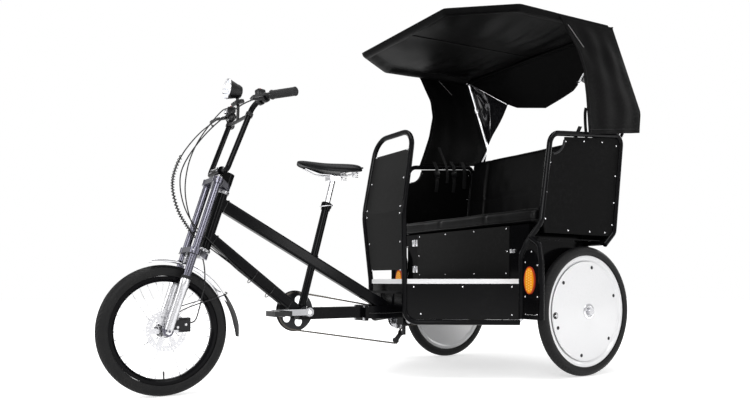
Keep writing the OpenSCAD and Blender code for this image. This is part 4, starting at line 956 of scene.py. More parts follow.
def guard_row(angle, radius, half_w=guard_half_w, crown=0.011, rolled=0.0016):
    rows = []
    for k in range(-10, 11):
        u = k / 10
        rows.append((u * half_w, radius - crown * u * u))
    rows = [(-half_w + 0.0004, radius - crown - rolled)] + rows + [(half_w - 0.0004, radius - crown - rolled)]
    return [front_hub + Vector((x, r * sin(angle), r * cos(angle))) for x, r in rows]


def strip_of(rows):
    points = [p for row in rows for p in row]
    wide = len(rows[0])
    return points, [(i * wide + k, i * wide + k + 1, (i + 1) * wide + k + 1, (i + 1) * wide + k)
                    for i in range(len(rows) - 1) for k in range(wide - 1)]


def thickened(shape, thick):
    mesh = bpy.data.meshes.new("thin")
    mesh.from_pydata([tuple(p) for p in shape[0]], [], shape[1])
    piece = bpy.data.objects.new("thin", mesh)
    scene.collection.objects.link(piece)
    solid = piece.modifiers.new("thick", "SOLIDIFY")
    solid.thickness, solid.offset = thick, 0
    apply_modifiers(piece)
    out = [v.co.copy() for v in piece.data.vertices], [tuple(f.vertices) for f in piece.data.polygons]
    bpy.data.objects.remove(piece)
    return out


turns = [radians(-11 + 77 * k / 36) for k in range(37)]
guard = thickened(strip_of([guard_row(a, guard_r + 0.001) for a in turns]), 0.0016)
flap_rows = []
for k in range(13):
    degrees = 60 + 37 * k / 12
    radius = guard_r + 0.0025 + (degrees - 60) * 0.00078
    wide = 0.0275 * (1 if k < 10 else 1 - 0.16 * (k - 9))
    flap_rows.append([front_hub + Vector((x * wide, (radius - 0.004 * x * x) * sin(radians(degrees)), (radius - 0.004 * x * x) * cos(radians(degrees))))
                      for x in [-1 + 0.25 * i for i in range(9)]])
stays = []
for out in (1, -1):
    end_r, end_a = guard_r - 0.009, radians(60)
    end = front_hub + Vector((out * 0.0315, end_r * sin(end_a), end_r * cos(end_a)))
    stays.append(tube(smooth_line([on_fork(out * (fork_leg_x - 0.004), 0.019, 0.052), front_hub + Vector((out * 0.056, 0.060, 0.082)), end, end + Vector((0, 0.006, 0.012))], 5), 0.0023, 8))
clip = [turned_block((0.026, 0.018, 0.045), on_fork(0, -0.002, guard_r + 0.0215), (1, 0, 0), steer_back),
        rivet(on_fork(0, -0.011, guard_r + 0.020), -steer_back, 0.005, 0.003)]
make_piece("front_mudguard_metal", guard, "polished", "fork", ["front_mudguard"])
make_piece("mudguard_flap", thickened(strip_of(flap_rows), 0.0026), "rubber", "fork")
make_piece("mudguard_stays", merged(stays), "dark_steel", "fork")
make_piece("mudguard_clip", merged(clip), "rivet", "fork", bevel=0.0008)
flap_rivets = [rivet(front_hub + Vector((x, (guard_r + 0.0035) * sin(radians(62.5)), (guard_r + 0.0035) * cos(radians(62.5)))),
                     (0, sin(radians(62.5)), cos(radians(62.5))), 0.004, 0.0018) for x in (-0.016, 0.016)]
make_piece("flap_rivets", merged(flap_rivets), "rivet", "fork")

# %% [markdown]
# Each grip is a ribbed rubber sleeve. Beside it sit the clamp of the brake lever, the lever
# itself with its ball end, and a switch or twist shifter. A bell and a small display finish
# the bar. They are placed along the line from the bend of the bar to its end.

# %% Bars: grips, levers, switches
bar_bend_z = 1.165
bar_r = 0.011
riser_foot = on_fork(0.101, 0.008, upper_crown + crown_t + 0.036)
riser_top = at(0.110, -1.524, bar_bend_z)
grip_start = at(0.215, -1.499, bar_bend_z + 0.016)
grip_end = at(0.330, -1.448, bar_bend_z + 0.010)
bar_along = (grip_start - riser_top).normalized()
grip_along = (grip_end - grip_start).normalized()
grip_outline = [(0.0116, 0.008), (0.0185, 0.008), (0.0190, 0.011), (0.0168, 0.013)]
rib_step, rib_count = 0.0052, 19
for k in range(rib_count):
    start = 0.0145 + k * rib_step
    grip_outline += [(0.0158, start), (0.0168, start + 0.0012), (0.0168, start + 0.0034), (0.0158, start + 0.0046)]
grip_length = (grip_end - grip_start).length
grip_outline += [(0.0172, grip_length - 0.004), (0.0175, grip_length + 0.002), (0.0150, grip_length + 0.0048), (0.0, grip_length + 0.0052)]
grip = lathe(grip_outline, grip_start, grip_along, 32)
make_piece("bar_grips", both_sides(grip), "rubber", "fork", ["grips"], weld=0.0001)

lever_clamp = riser_top.lerp(grip_start, 0.72)
pod_clamp = riser_top.lerp(grip_start, 0.42)
bands = [lathe([(0.0112, -0.009), (0.0175, -0.009), (0.0190, -0.007), (0.0190, 0.007), (0.0175, 0.009), (0.0112, 0.009)],
               p, bar_along, 28, True) for p in (lever_clamp, pod_clamp)]
lever_body = tube(smooth_line([lever_clamp + Vector((0, -0.014, -0.002)), lever_clamp + Vector((-0.002, -0.034, -0.008)),
                               lever_clamp + Vector((0.006, -0.062, -0.014))], 4), [0.011] * 3 + [0.0098] * 3 + [0.0085] * 3, 12, squash=0.8)
blade = smooth_line([lever_clamp + Vector(p) for p in ((0.004, -0.060, -0.014), (0.030, -0.070, -0.0165), (0.060, -0.072, -0.018),
                     (0.095, -0.056, -0.0185), (0.122, -0.038, -0.0185))], 5)
radii = [0.0062 - 0.0020 * i / (len(blade) - 1) for i in range(len(blade))]
lever_blade = tube(blade, radii, 12, squash=0.7)
ball = lathe([(0.0, -0.0062), (0.0040, -0.0048), (0.0060, 0.0), (0.0040, 0.0048), (0.0, 0.0062)], blade[-1], grip_along, 16)
make_piece("lever_clamps", both_sides(merged(bands + [lever_body])), "plastic", "fork", ["bar_controls"])
make_piece("brake_levers", both_sides(merged([lever_blade, ball])), "plastic", "fork", weld=0.0001)
adjuster = tube([lever_clamp + Vector((0, -0.045, -0.010)), lever_clamp + Vector((-0.016, -0.052, -0.008)), lever_clamp + Vector((-0.024, -0.055, -0.007))],
                [0.0052, 0.0048, 0.0035], 12)
make_piece("cable_adjusters", both_sides(adjuster), "rivet", "fork")

pod = pod_clamp + Vector((0.001, -0.001, 0.030))
pods = both_sides(turned_block((0.030, 0.036, 0.026), pod, bar_along, Vector((0, 0, 1)).cross(bar_along)))
make_piece("switch_pods", pods, "plastic", "fork", bevel=0.005)
buttons = [lathe([(0.0, 0.0022), (0.0045, 0.0020), (0.0055, 0.0)], pod + Vector((dx, -0.004, 0.013)), (0, 0, 1), 16) for dx in (-0.007, 0.007)]
make_piece("switch_buttons", both_sides(merged(buttons)), "red_rim", "fork", weld=0.0001)
display = turned_block((0.058, 0.040, 0.016), at(0.0, -1.548, 1.192), (1, 0, 0), (0, 0.94, 0.34))
make_piece("bar_display", display, "plastic", "fork", bevel=0.004)
screen = turned_block((0.044, 0.028, 0.002), at(0.0, -1.5510, 1.2008), (1, 0, 0), (0, 0.94, 0.34))
make_piece("display_glass", screen, "shiny_vinyl", "fork", bevel=0.0008)
bell_at = Vector((-pod_clamp.x - 0.030, pod_clamp.y - 0.004, pod_clamp.z + 0.020))
bell = [lathe([(0.0, 0.0200), (0.0080, 0.0192), (0.0150, 0.0160), (0.0195, 0.0100), (0.0210, 0.0030), (0.0205, 0.0), (0.0180, 0.0005)],
              bell_at, (0, 0, 1), 36), tube([bell_at + Vector((0, 0, -0.012)), bell_at + Vector((0, 0, 0.004))], 0.006, 12)]
make_piece("bell", merged(bell), "satin_steel", "fork", weld=0.0001)
print("ribs on a grip:", rib_count)

# %% [markdown]
# The headlight points forward from a bracket between the risers. A bright bowl sits in a black
# shell, behind a clear lens with a chrome ring.

# %% Headlight
lamp_at = at(0, -1.556, 1.240)
lamp_forward = Vector((0, -cos(radians(6)), sin(radians(6))))
shell = lathe([(0.0, -0.026), (0.014, -0.0255), (0.024, -0.021), (0.029, -0.010), (0.030, 0.0), (0.036, 0.018), (0.0415, 0.036),
               (0.0425, 0.0405), (0.0405, 0.0415), (0.0385, 0.036)], lamp_at, lamp_forward, 48)
bowl = lathe([(0.0, 0.004), (0.010, 0.005), (0.022, 0.011), (0.031, 0.021), (0.0375, 0.034), (0.0388, 0.037)], lamp_at, lamp_forward, 48)
bulb = lathe([(0.0, 0.021), (0.004, 0.0195), (0.0055, 0.015), (0.0055, 0.006)], lamp_at, lamp_forward, 20)
ring_outline = [(0.0385, 0.0375), (0.0400, 0.0418), (0.0420, 0.0422), (0.0432, 0.0395), (0.0425, 0.0370)]
lens = lathe([(0.0, 0.0418), (0.015, 0.0412), (0.028, 0.0395), (0.0388, 0.0372), (0.0388, 0.0362), (0.028, 0.0383), (0.015, 0.0398), (0.0, 0.0404)],
             lamp_at, lamp_forward, 40)
make_piece("headlight_shell", shell, "plastic", "fork", ["headlight"], weld=0.0001)
make_piece("headlight_bowl", bowl, "reflector", "fork", weld=0.0001)
make_piece("headlight_bulb", bulb, "white", "fork", weld=0.0001)
make_piece("headlight_ring", lathe(ring_outline, lamp_at, lamp_forward, 48, True), "polished", "fork")
make_piece("headlight_lens", lens, "lens", "fork", weld=0.0001)
bracket_z = 1.120
part_up = (bracket_z - riser_foot.z) / (riser_top.z - riser_foot.z)
tie = riser_foot.lerp(riser_top, part_up)
bracket = [tube(smooth_line([lamp_at + Vector((0, 0.006, -0.024)), lamp_at + Vector((0, 0.010, -0.060)), at(0, -1.548, bracket_z)], 5), 0.0065, 12),
           tube([Vector((-tie.x + bar_r, tie.y, bracket_z)), Vector((tie.x - bar_r, tie.y, bracket_z))], 0.0075, 14)]
bracket += [lathe([(bar_r + 0.0004, -0.008), (bar_r + 0.004, -0.008), (bar_r + 0.004, 0.008), (bar_r + 0.0004, 0.008)],
                  Vector((out * tie.x, tie.y, bracket_z)), (riser_top - riser_foot) if out > 0 else mirrored(([riser_top - riser_foot], []))[0][0], 24, True)
            for out in (1, -1)]
make_piece("headlight_bracket", merged(bracket), "plastic", "fork")
stem_bolts = [hex_bolt(on_fork(out * x, back, upper_crown + crown_t + up), -steer_back, 0.0036, 0.003)
              for out in (1, -1) for x, back, up in ((0.034, -0.0105, 0.030), (0.034, -0.0105, 0.042))]
stem_cap = disc_cap([(0.0, 0.0035), (0.014, 0.0035), (0.0200, 0.0015), (0.0215, 0.0)], on_fork(0, 0.053, upper_crown + crown_t + 0.0486), steer_up, 32)
make_piece("stem_bolts_and_cap", merged(stem_bolts + [stem_cap]), "rivet", "fork", weld=0.0001)

# %% [markdown]
# Three cables leave the bars, hang forward in loose curves and come back behind the fork to the
# down tube. A spiral wrap holds them together in front of the head tube.

# %% Control cables
cable_routes = [
    [(176, -1545, 1168), (140, -1590, 1145), (80, -1675, 1070), (34, -1740, 985), (14, -1785, 900),
     (12, -1795, 830), (14, -1780, 750), (20, -1745, 680), (32, -1698, 628), (32, -1655, 590),
     (22, -1610, 553), (10, -1560, 511), (8, -1480, 449), (8, -1400, 388), (6, -1352, 351)],
    [(-176, -1545, 1168), (-136, -1595, 1140), (-72, -1690, 1060), (-28, -1770, 965), (-6, -1812, 880),
     (0, -1820, 810), (2, -1800, 730), (0, -1764, 670), (-16, -1722, 622), (-32, -1684, 602),
     (-32, -1650, 582), (-18, -1600, 543), (-3, -1550, 503), (0, -1480, 449), (0, -1400, 388), (0, -1352, 350)],
    [(-138, -1536, 1202), (-108, -1575, 1180), (-66, -1640, 1110), (-34, -1706, 1020), (-20, -1745, 940),
     (-20, -1762, 860), (-22, -1762, 790), (-23, -1745, 710), (-28, -1718, 655), (-33, -1688, 622),
     (-34, -1646, 590), (-28, -1600, 551), (-14, -1545, 499), (-9, -1480, 449), (-8, -1400, 388), (-6, -1354, 352)]]
cable_r = 0.0026


def route_points(route, per=7):
    return smooth_line([at(x / 1000, y / 1000, z / 1000) for x, y, z in route], per)


cables = merged([tube(route_points(route), cable_r, 10) for route in cable_routes])
cable_piece = make_piece("control_cable_set", cables, "cable", None, ["control_cables"])
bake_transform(cable_piece)


def coil_round(line, radius, turns, wire, sides=6, per_turn=14):
    count = int(turns * per_turn)
    points, across = [], None
    for i in range(count + 1):
        t = i / count * (len(line) - 1)
        k = min(int(t), len(line) - 2)
        p = line[k].lerp(line[k + 1], t - k)
        ahead = (line[min(k + 1, len(line) - 1)] - line[max(k - 1, 0)]).normalized()
        across = square_to(across if across else Vector((1, 0, 0)), ahead)
        up = ahead.cross(across)
        a = 2 * pi * i / per_turn
        points.append(p + radius * (cos(a) * across + sin(a) * up))
    return tube(points, wire, sides)


wrapped = route_points(cable_routes[1])[22:56]
wrap = make_piece("cable_spiral_wrap", coil_round(wrapped, 0.0062, 30, 0.0019), "plastic", None)
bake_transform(wrap)
tie_loops = []
for y, z in ((-1.480, 0.470), (-1.400, 0.408)):
    middle = at(0, y, z)
    down_dir = Vector((0, 0.608, 0.794))
    tie_loops.append(tube([middle + Vector((0.0235 * cos(a), 0, 0)) + down_dir * (0.034 * sin(a)) for a in
                           [2 * pi * k / 40 for k in range(40)]], 0.0016, 6, closed=True))
make_piece("cable_ties", merged(tie_loops), "plastic", "chassis")

# %% Brake hoses
front_hose = [(40, -1712, 539), (44, -1708, 515), (48, -1706, 474), (51.4, -1710, 430), (51.8, -1719, 387),
              (51.8, -1730, 343), (48, -1740, 306), (44, -1750, 290), (40, -1761, 286)]
rear_hose = [(28, -912, 302), (28, -820, 300), (28, -720, 302), (31, -640, 296), (70, -560, 268), (150, -490, 256),
             (226, -420, 250), (246, -340, 254), (220, -260, 258), (150, -180, 268), (104, -142, 284), (92, -133, 300)]
make_piece("front_hose", tube(route_points(front_hose), 0.0025, 10), "cable", "fork", ["front_brake_hose"])
make_piece("rear_hose", tube(route_points(rear_hose), 0.0025, 10), "cable", "chassis", ["rear_brake_hose"])
caliper_low, caliper_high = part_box("brake_caliper")
caliper_bolts = [hex_bolt(Vector((caliper_high.x, caliper_low.y + dy, caliper_low.z + dz)), (1, 0, 0), 0.0042, 0.003)
                 for dy, dz in ((0.014, 0.020), (0.046, 0.030))]
caliper_bolts += [lathe([(0.0, 0.002), (0.011, 0.002), (0.013, 0.0)], Vector((0.0483, caliper_high.y - 0.020, caliper_low.z + 0.026)), (1, 0, 0), 24)]
make_piece("caliper_bolts", merged(caliper_bolts), "rivet", "fork", weld=0.0001)
rear_caliper = [turned_block((0.040, 0.046, 0.058), at(0.0695, -0.062, 0.345), (1, 0, 0), (0, 1, 0)),
                turned_block((0.026, 0.014, 0.030), at(0.101, -0.080, 0.345), (1, 0, 0), (0, 1, 0))]
make_piece("rear_brake_caliper", merged(rear_caliper), "dark_steel", "chassis", bevel=0.004)
print("cable routes:", len(cable_routes))

# %% [markdown]
# Welded tubes show a low bead where they meet, bolted plates show their bolts, and the seat
# post has a quick-release clamp. Small things like these give the frame its scale.

# %% Frame trim
seat_tube_top = at(0, -1.120, 0.802)
seat_up = (seat_tube_top - crank).normalized()


def ring_bead(centre, direction, radius, wire=0.0026, count=56, stretch=(1.0, 1.0)):
    along = Vector(direction).normalized()
    across = square_to(Vector((1, 0, 0)), along)
    up = along.cross(across)
    points = []
    for k in range(count):
        a = 2 * pi * k / count
        wobble = 1 + 0.02 * sin(19 * a)
        points.append(Vector(centre) + radius * wobble * (stretch[0] * cos(a) * across + stretch[1] * sin(a) * up))
    return tube(points, wire, 6, closed=True)


def box_bead(centre, direction, half_w, half_h, wire=0.003):
    along = Vector(direction).normalized()
    across = square_to(Vector((1, 0, 0)), along)
    up = along.cross(across)
    corners = [(-1, -1), (1, -1), (1, 1), (-1, 1)]
    points = []
    for i, (x, y) in enumerate(corners):
        nx, ny = corners[(i + 1) % 4]
        for k in range(8):
            t = k / 8
            points.append(Vector(centre) + across * (x + (nx - x) * t) * half_w + up * (y + (ny - y) * t) * half_h)
    return tube(points, wire, 6, closed=True)


top_start, top_end = on_fork(0, 0.053, head_low + 0.213), at(0, -0.802, 0.328)
down_start, down_end = on_fork(0, 0.053, head_low + 0.068), crank + Vector((0, -0.020, 0.006))
top_along, down_along = (top_end - top_start).normalized(), (down_end - down_start).normalized()
beads = [box_bead(top_start + top_along * 0.026, top_along, 0.0195, 0.0255), box_bead(down_start + down_along * 0.026, down_along, 0.0195, 0.0225),
         box_bead(down_end - down_along * 0.046, down_along, 0.0195, 0.0225),
         ring_bead(crank + seat_up * 0.027, seat_up, 0.0176), ring_bead(top_start.lerp(top_end, 0.527) + Vector((0, 0.006, 0.026)), seat_up, 0.0185)]
make_piece("weld_beads", merged(beads), "gloss_black", "chassis")
flange_bolts = [hex_bolt(at(x, -0.944 if f < 0 else -0.928, z), (0, f, 0), 0.0055, 0.005)
                for f in (-1, 1) for x, z in ((-0.038, 0.277), (0.038, 0.277), (-0.038, 0.333), (0.038, 0.333))]
make_piece("flange_bolts", merged(flange_bolts), "rivet", "chassis")
clamp_at = seat_tube_top - seat_up * 0.012
collar = lathe([(0.0205, -0.010), (0.0245, -0.009), (0.0245, 0.009), (0.0205, 0.010)], clamp_at, seat_up, 40, True)
lever = tube(smooth_line([clamp_at + Vector((0.026, 0.020, 0)), clamp_at + Vector((0.032, 0.004, -0.002)), clamp_at + Vector((0.031, -0.026, -0.006)),
                          clamp_at + Vector((0.027, -0.048, -0.010))], 5), [0.0048] * 6 + [0.0042] * 6 + [0.0036] * 4, 10, squash=0.6)
skewer = tube([clamp_at + Vector((-0.028, 0.021, 0)), clamp_at + Vector((0.028, 0.021, 0))], 0.0045, 12)
make_piece("seat_collar", collar, "gloss_black", "chassis")
make_piece("seat_clamp_lever", merged([lever, skewer]), "satin_steel", "chassis")
shell_rings = [lathe([(0.0095, 0.0362), (0.0215, 0.0362), (0.0215, 0.0392), (0.0095, 0.0392)], crank, (out, 0, 0), 32, True) for out in (1, -1)]
make_piece("bottom_bracket_cups", merged(shell_rings), "dark_steel", "chassis")
shaft_collars = [lathe([(0.0082, -0.006), (0.0150, -0.006), (0.0150, 0.006), (0.0082, 0.006)], drive_shaft + Vector((x, 0, 0)), (1, 0, 0), 24, True)
                 for x in (-0.034, 0.036)]
shaft_collars += [lathe([(0.0127, -0.007), (0.030, -0.007), (0.034, -0.003), (0.034, 0.003), (0.030, 0.007), (0.0127, 0.007)],
                        Vector((out * x, axle.y, axle.z)), (1, 0, 0), 32, True) for out in (1, -1) for x in (0.131, 0.387)]
make_piece("axle_bearings_and_collars", merged(shaft_collars), "satin_steel", "chassis")

# %% [markdown]
# The saddle is a wide comfort one. Cross sections run from its nose to its tail, each a rounded
# arch with a soft groove along the middle. A piping of black vinyl follows the edge of the top panel and
# two coil springs stand under the tail.

# %% Saddle
saddle_low, saddle_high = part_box("saddle")
saddle_len = (saddle_high.y - saddle_low.y) * 0.90
saddle_tall = saddle_high.z - saddle_low.z
# distance along, half width, top height and side depth, as shares of the saddle's box
saddle_rows = [(0.0, 0.10, 0.84, 0.40), (0.03, 0.17, 0.93, 0.72), (0.10, 0.215, 0.975, 0.95), (0.25, 0.26, 0.95, 1.10),
               (0.42, 0.36, 0.905, 1.25), (0.56, 0.58, 0.92, 1.42), (0.70, 0.84, 0.965, 1.55), (0.82, 0.965, 1.0, 1.55),
               (0.92, 0.95, 0.99, 1.40), (0.98, 0.80, 0.93, 1.10), (1.0, 0.60, 0.86, 0.70)]
half_wide = saddle_high.x


def saddle_row(along, wide, top, deep, arc=25):
    # Over the top from side to side, then round the skirt's lip to the hollow underneath
    y = saddle_low.y + 0.002 + saddle_len * along
    top_z = saddle_low.z + saddle_tall * top
    lip_z = top_z - saddle_tall * deep
    row = []
    for k in range(arc):
        u = cos(pi * k / (arc - 1))
        groove = 0.005 * max(0.0, 1 - (u / 0.16) ** 2) * min(1, along / 0.12)
        row.append(Vector((half_wide * wide * u * 0.995, y, lip_z + (top_z - lip_z) * (1 - abs(u) ** 2.6) ** 0.42 - groove)))
    under_z = max(lip_z + 0.003, min(top_z - 0.012, saddle_low.z + 0.006))
    for share, z in ((-0.93, lip_z + 0.002), (-0.88, under_z), (0.88, under_z), (0.93, lip_z + 0.002)):
        row.append(Vector((half_wide * wide * share, y, z)))
    return row


saddle_loops = [saddle_row(*row) for row in saddle_rows]
per_row, rows = len(saddle_loops[0]), len(saddle_rows)
points = [p for loop in saddle_loops for p in loop]
faces = [(i * per_row + k, i * per_row + (k + 1) % per_row, (i + 1) * per_row + (k + 1) % per_row, (i + 1) * per_row + k)
         for i in range(rows - 1) for k in range(per_row)]
faces += [tuple(range(per_row)), tuple((rows - 1) * per_row + k for k in range(per_row - 1, -1, -1))]
saddle = make_piece("saddle_cover", (points, faces), "saddle_vinyl", "chassis", ["saddle"], subdivide=2)
seam = []
for out in (1, -1):
    for along, wide, top, deep in saddle_rows[1:]:
        y = saddle_low.y + 0.002 + saddle_len * along
        top_z = saddle_low.z + saddle_tall * top
        lip_z = top_z - saddle_tall * deep
        seam.append(Vector((out * half_wide * wide * 0.985, y, lip_z + (top_z - lip_z) * 0.36)))
half = len(seam) // 2
seam_line = smooth_line(seam[:half] + list(reversed(seam[half:])), 6, closed=True)
make_piece("saddle_piping", tube(seam_line, 0.0022, 8, closed=True), "vinyl", "chassis")
springs = []
for out in (1, -1):
    foot = Vector((out * 0.050, saddle_high.y - 0.052, saddle_low.z - 0.030))
    springs.append(coil_round([foot + Vector((0, 0, 0.034 * k / 6)) for k in range(7)], 0.0125, 4, 0.0021, 8, 20))
make_piece("saddle_springs", merged(springs), "polished", "chassis")
print("saddle rows:", rows)

# %% [markdown]
# Thin panels are riveted to the tubes. Each field of rivets is a list of places measured from
# the panel's own edges, so they follow the panels. A few small hinges and a latch belong to the
# battery door in the front of the seat box.

# %% Rivets on the panels
def rivets(name, places, direction, radius=0.0046, height=0.0024, body="chassis", material="rivet"):
    return make_piece(name, merged([rivet(p, direction, radius, height) for p in places]), material, body)


floor_z, panel_t = 0.450, 0.006
hoop_low = at(0.139, -0.790, floor_z)
hoop_mid = at(0.165, -0.813, 0.775)
hoop_high = at(0.150, -0.746, 1.150)
front_face = []
for share_from, share_to, low, high in ((0.16, 0.96, hoop_low, hoop_mid), (0.05, 0.76, hoop_mid, hoop_high)):
    for k in range(3):
        p = low.lerp(high, share_from + (share_to - share_from) * k / 2)
        front_face += [Vector((out * (p.x - 0.027), p.y - 0.0032, p.z)) for out in (1, -1)]
rivets("front_panel_rivets", front_face, (0, -1, 0.03), 0.0042)
panel_low, panel_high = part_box("seat_box_panel")
door_y = panel_low.y
door = [Vector((x, door_y, z)) for z in (panel_low.z + 0.014, panel_high.z - 0.012) for x in (-0.33, -0.11, 0.11, 0.33)]
door += [Vector((x, door_y, (panel_low.z + panel_high.z) / 2)) for x in (-0.336, 0.336)]
rivets("seat_door_rivets", door, (0, -1, 0), 0.0042)
hinge_parts = []
for z in (panel_low.z + 0.045, panel_high.z - 0.045):
    for x in (-0.362, -0.389):
        hinge_parts.append(turned_block((0.022, 0.0025, 0.036), (x, door_y + 0.0025, z), (1, 0, 0), (0, 1, 0)))
    hinge_parts.append(tube([Vector((-0.3755, door_y, z - 0.019)), Vector((-0.3755, door_y, z + 0.019))], 0.0035, 12))
hinge_parts += [turned_block((0.030, 0.006, 0.018), (0.372, door_y, (panel_low.z + panel_high.z) / 2), (1, 0, 0), (0, 1, 0))]
make_piece("seat_door_hinges", merged(hinge_parts), "satin_steel", "chassis", bevel=0.0006)

side_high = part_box("side_panels")[1]
side_x = side_high.x
# distance back from the rear axle, height
side_marks = [(-0.166, 1.090), (-0.040, 1.104), (0.090, 1.114), (0.196, 1.108), (0.188, 0.960), (0.176, 0.830), (0.164, 0.722),
              (-0.269, 0.985), (-0.292, 0.850), (-0.300, 0.730), (-0.150, 0.683), (0.000, 0.683), (0.110, 0.683)]
for out in (1, -1):
    rivets(("left" if out > 0 else "right") + "_side_rivets", [at(out * (side_x + 0.0002), y, z) for y, z in side_marks], (out, 0, 0), 0.0045)
    rivets(("left" if out > 0 else "right") + "_side_rivets_inside", [at(out * (side_x - panel_t - 0.0002), y, z) for y, z in side_marks],
           (-out, 0, 0), 0.0045)
hold = []
edge_middle = at(side_x - panel_t / 2, -0.254, 1.110)
for k in range(25):
    a = radians(-86 + (6 - -92 + 4) * k / 24)
    hold.append(edge_middle + Vector((0, 0.084 * cos(a), 0.084 * sin(a))))
hold = [p for p in hold if p.z < 1.102 and p.y > edge_middle.y - 0.012]
make_piece("hand_hold_edging", both_sides(tube(hold, 0.0055, 10)), "rubber", "chassis")

# %% Screws of the skirts and fenders
skirt_from, skirt_to = at(0.139, -0.790, 0), at(0.441, -0.354, 0)
skirt_along = (skirt_to - skirt_from).normalized()
skirt_out = Vector((skirt_along.y, -skirt_along.x, 0))
skirt_screws = []
for share, z in ((0.08, 0.424), (0.92, 0.424), (0.14, 0.300), (0.92, 0.296), (0.5, 0.424)):
    p = skirt_from.lerp(skirt_to, share) + skirt_out * 0.0020
    skirt_screws.append(rivet(Vector((p.x, p.y, z)), skirt_out, 0.0042, 0.0020))
make_piece("skirt_screws", both_sides(merged(skirt_screws)), "rivet", "chassis")
arch_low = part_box("fenders")[0]
arch_y = arch_low.y
arch_x = (0.441 + 0.5585) / 2
# across from the plate's middle, height
arch_marks = [(-0.034, 0.300), (0.034, 0.300), (-0.036, 0.380), (0.036, 0.380), (-0.035, 0.535), (0.036, 0.520), (0.002, 0.582)]
make_piece("arch_rivets", both_sides(merged([rivet(Vector((arch_x + x, arch_y, z)), (0, -1, 0), 0.0042, 0.002) for x, z in arch_marks])),
           "rivet", "chassis")

# %% [markdown]
# The marker lights are oval: an orange-red rim holds a clear amber lens with rows of light
# points under it. The lens is a low dome, and the points stand in an oval grid.

# %% Marker lights
def oval_rings(rings, centre, count=48):
    points, faces = [], []
    for half_w, half_h, proud in rings:
        for k in range(count):
            a = 2 * pi * k / count
            points.append(Vector((centre.x + half_w * cos(a), centre.y - proud, centre.z + half_h * sin(a))))
    for i in range(len(rings) - 1):
        for k in range(count):
            m = (k + 1) % count
            faces.append((i * count + k, i * count + m, (i + 1) * count + m, (i + 1) * count + k))
    faces.append(tuple((len(rings) - 1) * count + k for k in range(count)))
    return points, faces


lamp_low, lamp_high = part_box("marker_lights")
lamp_centre = Vector((lamp_high.x - 0.031, lamp_high.y, (lamp_low.z + lamp_high.z) / 2))
rim = oval_rings([(0.0308, 0.0618, 0.0), (0.0312, 0.0622, 0.006), (0.0300, 0.0610, 0.0086), (0.0272, 0.0582, 0.0088), (0.0262, 0.0572, 0.0066)], lamp_centre)
dome = oval_rings([(0.0264, 0.0574, 0.0060), (0.0258, 0.0566, 0.0084), (0.0210, 0.0500, 0.0094), (0.0130, 0.0380, 0.0099), (0.0050, 0.0180, 0.0101)], lamp_centre)
make_piece("marker_light_rims", both_sides(rim), "red_rim", "chassis", ["marker_lights"])
make_piece("marker_light_lenses", both_sides(dome), "amber", "chassis")
points_of_light = []
for i in range(-1, 2):
    for j in range(-4, 5):
        x, z = 0.0125 * i, 0.0115 * j + (0.0058 if i else 0)
        if (x / 0.024) ** 2 + (z / 0.052) ** 2 < 0.94:
            points_of_light.append(rivet(lamp_centre + Vector((x, -0.0090 - 0.0006 * (1 - (z / 0.05) ** 2), z)), (0, -1, 0), 0.0035, 0.0016, 12))
make_piece("marker_light_points", both_sides(merged(points_of_light)), "led", "chassis")
print("light points on a side:", len(points_of_light))

# %% [markdown]
# The passengers' floor has a ribbed rubber mat. The ribs run across, and the mat narrows
# towards the front as the floor does.

# %% Floor mat
mat_z = floor_z
ribs, step = [], 0.018
y = -0.760
while y < -0.350:
    half = 0.126 + 0.280 * min(1.0, max(0.0, (y + 0.776) / 0.404))
    ribs.append(block(at(-half, y, mat_z + 0.0002), at(half, y + 0.010, mat_z + 0.0030)))
    y += step
sheet_points = [at(-0.128, -0.768, mat_z + 0.0002), at(0.128, -0.768, mat_z + 0.0002), at(0.408, -0.366, mat_z + 0.0002), at(0.408, -0.342, mat_z + 0.0002),
                at(-0.408, -0.342, mat_z + 0.0002), at(-0.408, -0.366, mat_z + 0.0002)]
mat_sheet = (sheet_points + [p + Vector((0, 0, 0.0014)) for p in sheet_points],
             [(5, 4, 3, 2, 1, 0), (6, 7, 8, 9, 10, 11)] + [(i, (i + 1) % 6, (i + 1) % 6 + 6, i + 6) for i in range(6)])
make_piece("floor_mat", merged([mat_sheet] + ribs), "mat", "chassis", bevel=0.0008)
print("mat ribs:", len(ribs))

# %% [markdown]
# The bench is upholstered. The cushion starts as a rounded block a little smaller than its
# space, and a cloth simulation blows it up so that its sides pull in between the corners.
# Seams and piping are added afterwards, because the simulation would smooth them away.

# %% Padding helpers
def rounded_pad(low, high, radius, cuts):
    # A rounded box, made from a fine grid on each side.
    low, high = Vector(low), Vector(high)
    size, middle = high - low, (low + high) / 2
    points, faces = [], []
    counts = cuts
    for axis in range(3):
        u, v = (axis + 1) % 3, (axis + 2) % 3
        for sign in (-1, 1):
            start = len(points)
            nu, nv = counts[u], counts[v]
            for i in range(nu + 1):
                for j in range(nv + 1):
                    p = Vector((0, 0, 0))
                    p[axis] = sign * size[axis] / 2
                    p[u] = (i / nu - 0.5) * size[u]
                    p[v] = (j / nv - 0.5) * size[v]
                    inner = Vector([max(-size[k] / 2 + radius, min(size[k] / 2 - radius, p[k])) for k in range(3)])
                    if (p - inner).length > 1e-9:
                        p = inner + (p - inner).normalized() * radius
                    points.append(middle + p)
            for i in range(nu):
                for j in range(nv):
                    a = start + i * (nv + 1) + j
                    quad = (a, a + nv + 1, a + nv + 2, a + 1)
                    faces.append(quad if sign > 0 else quad[::-1])
    return points, faces


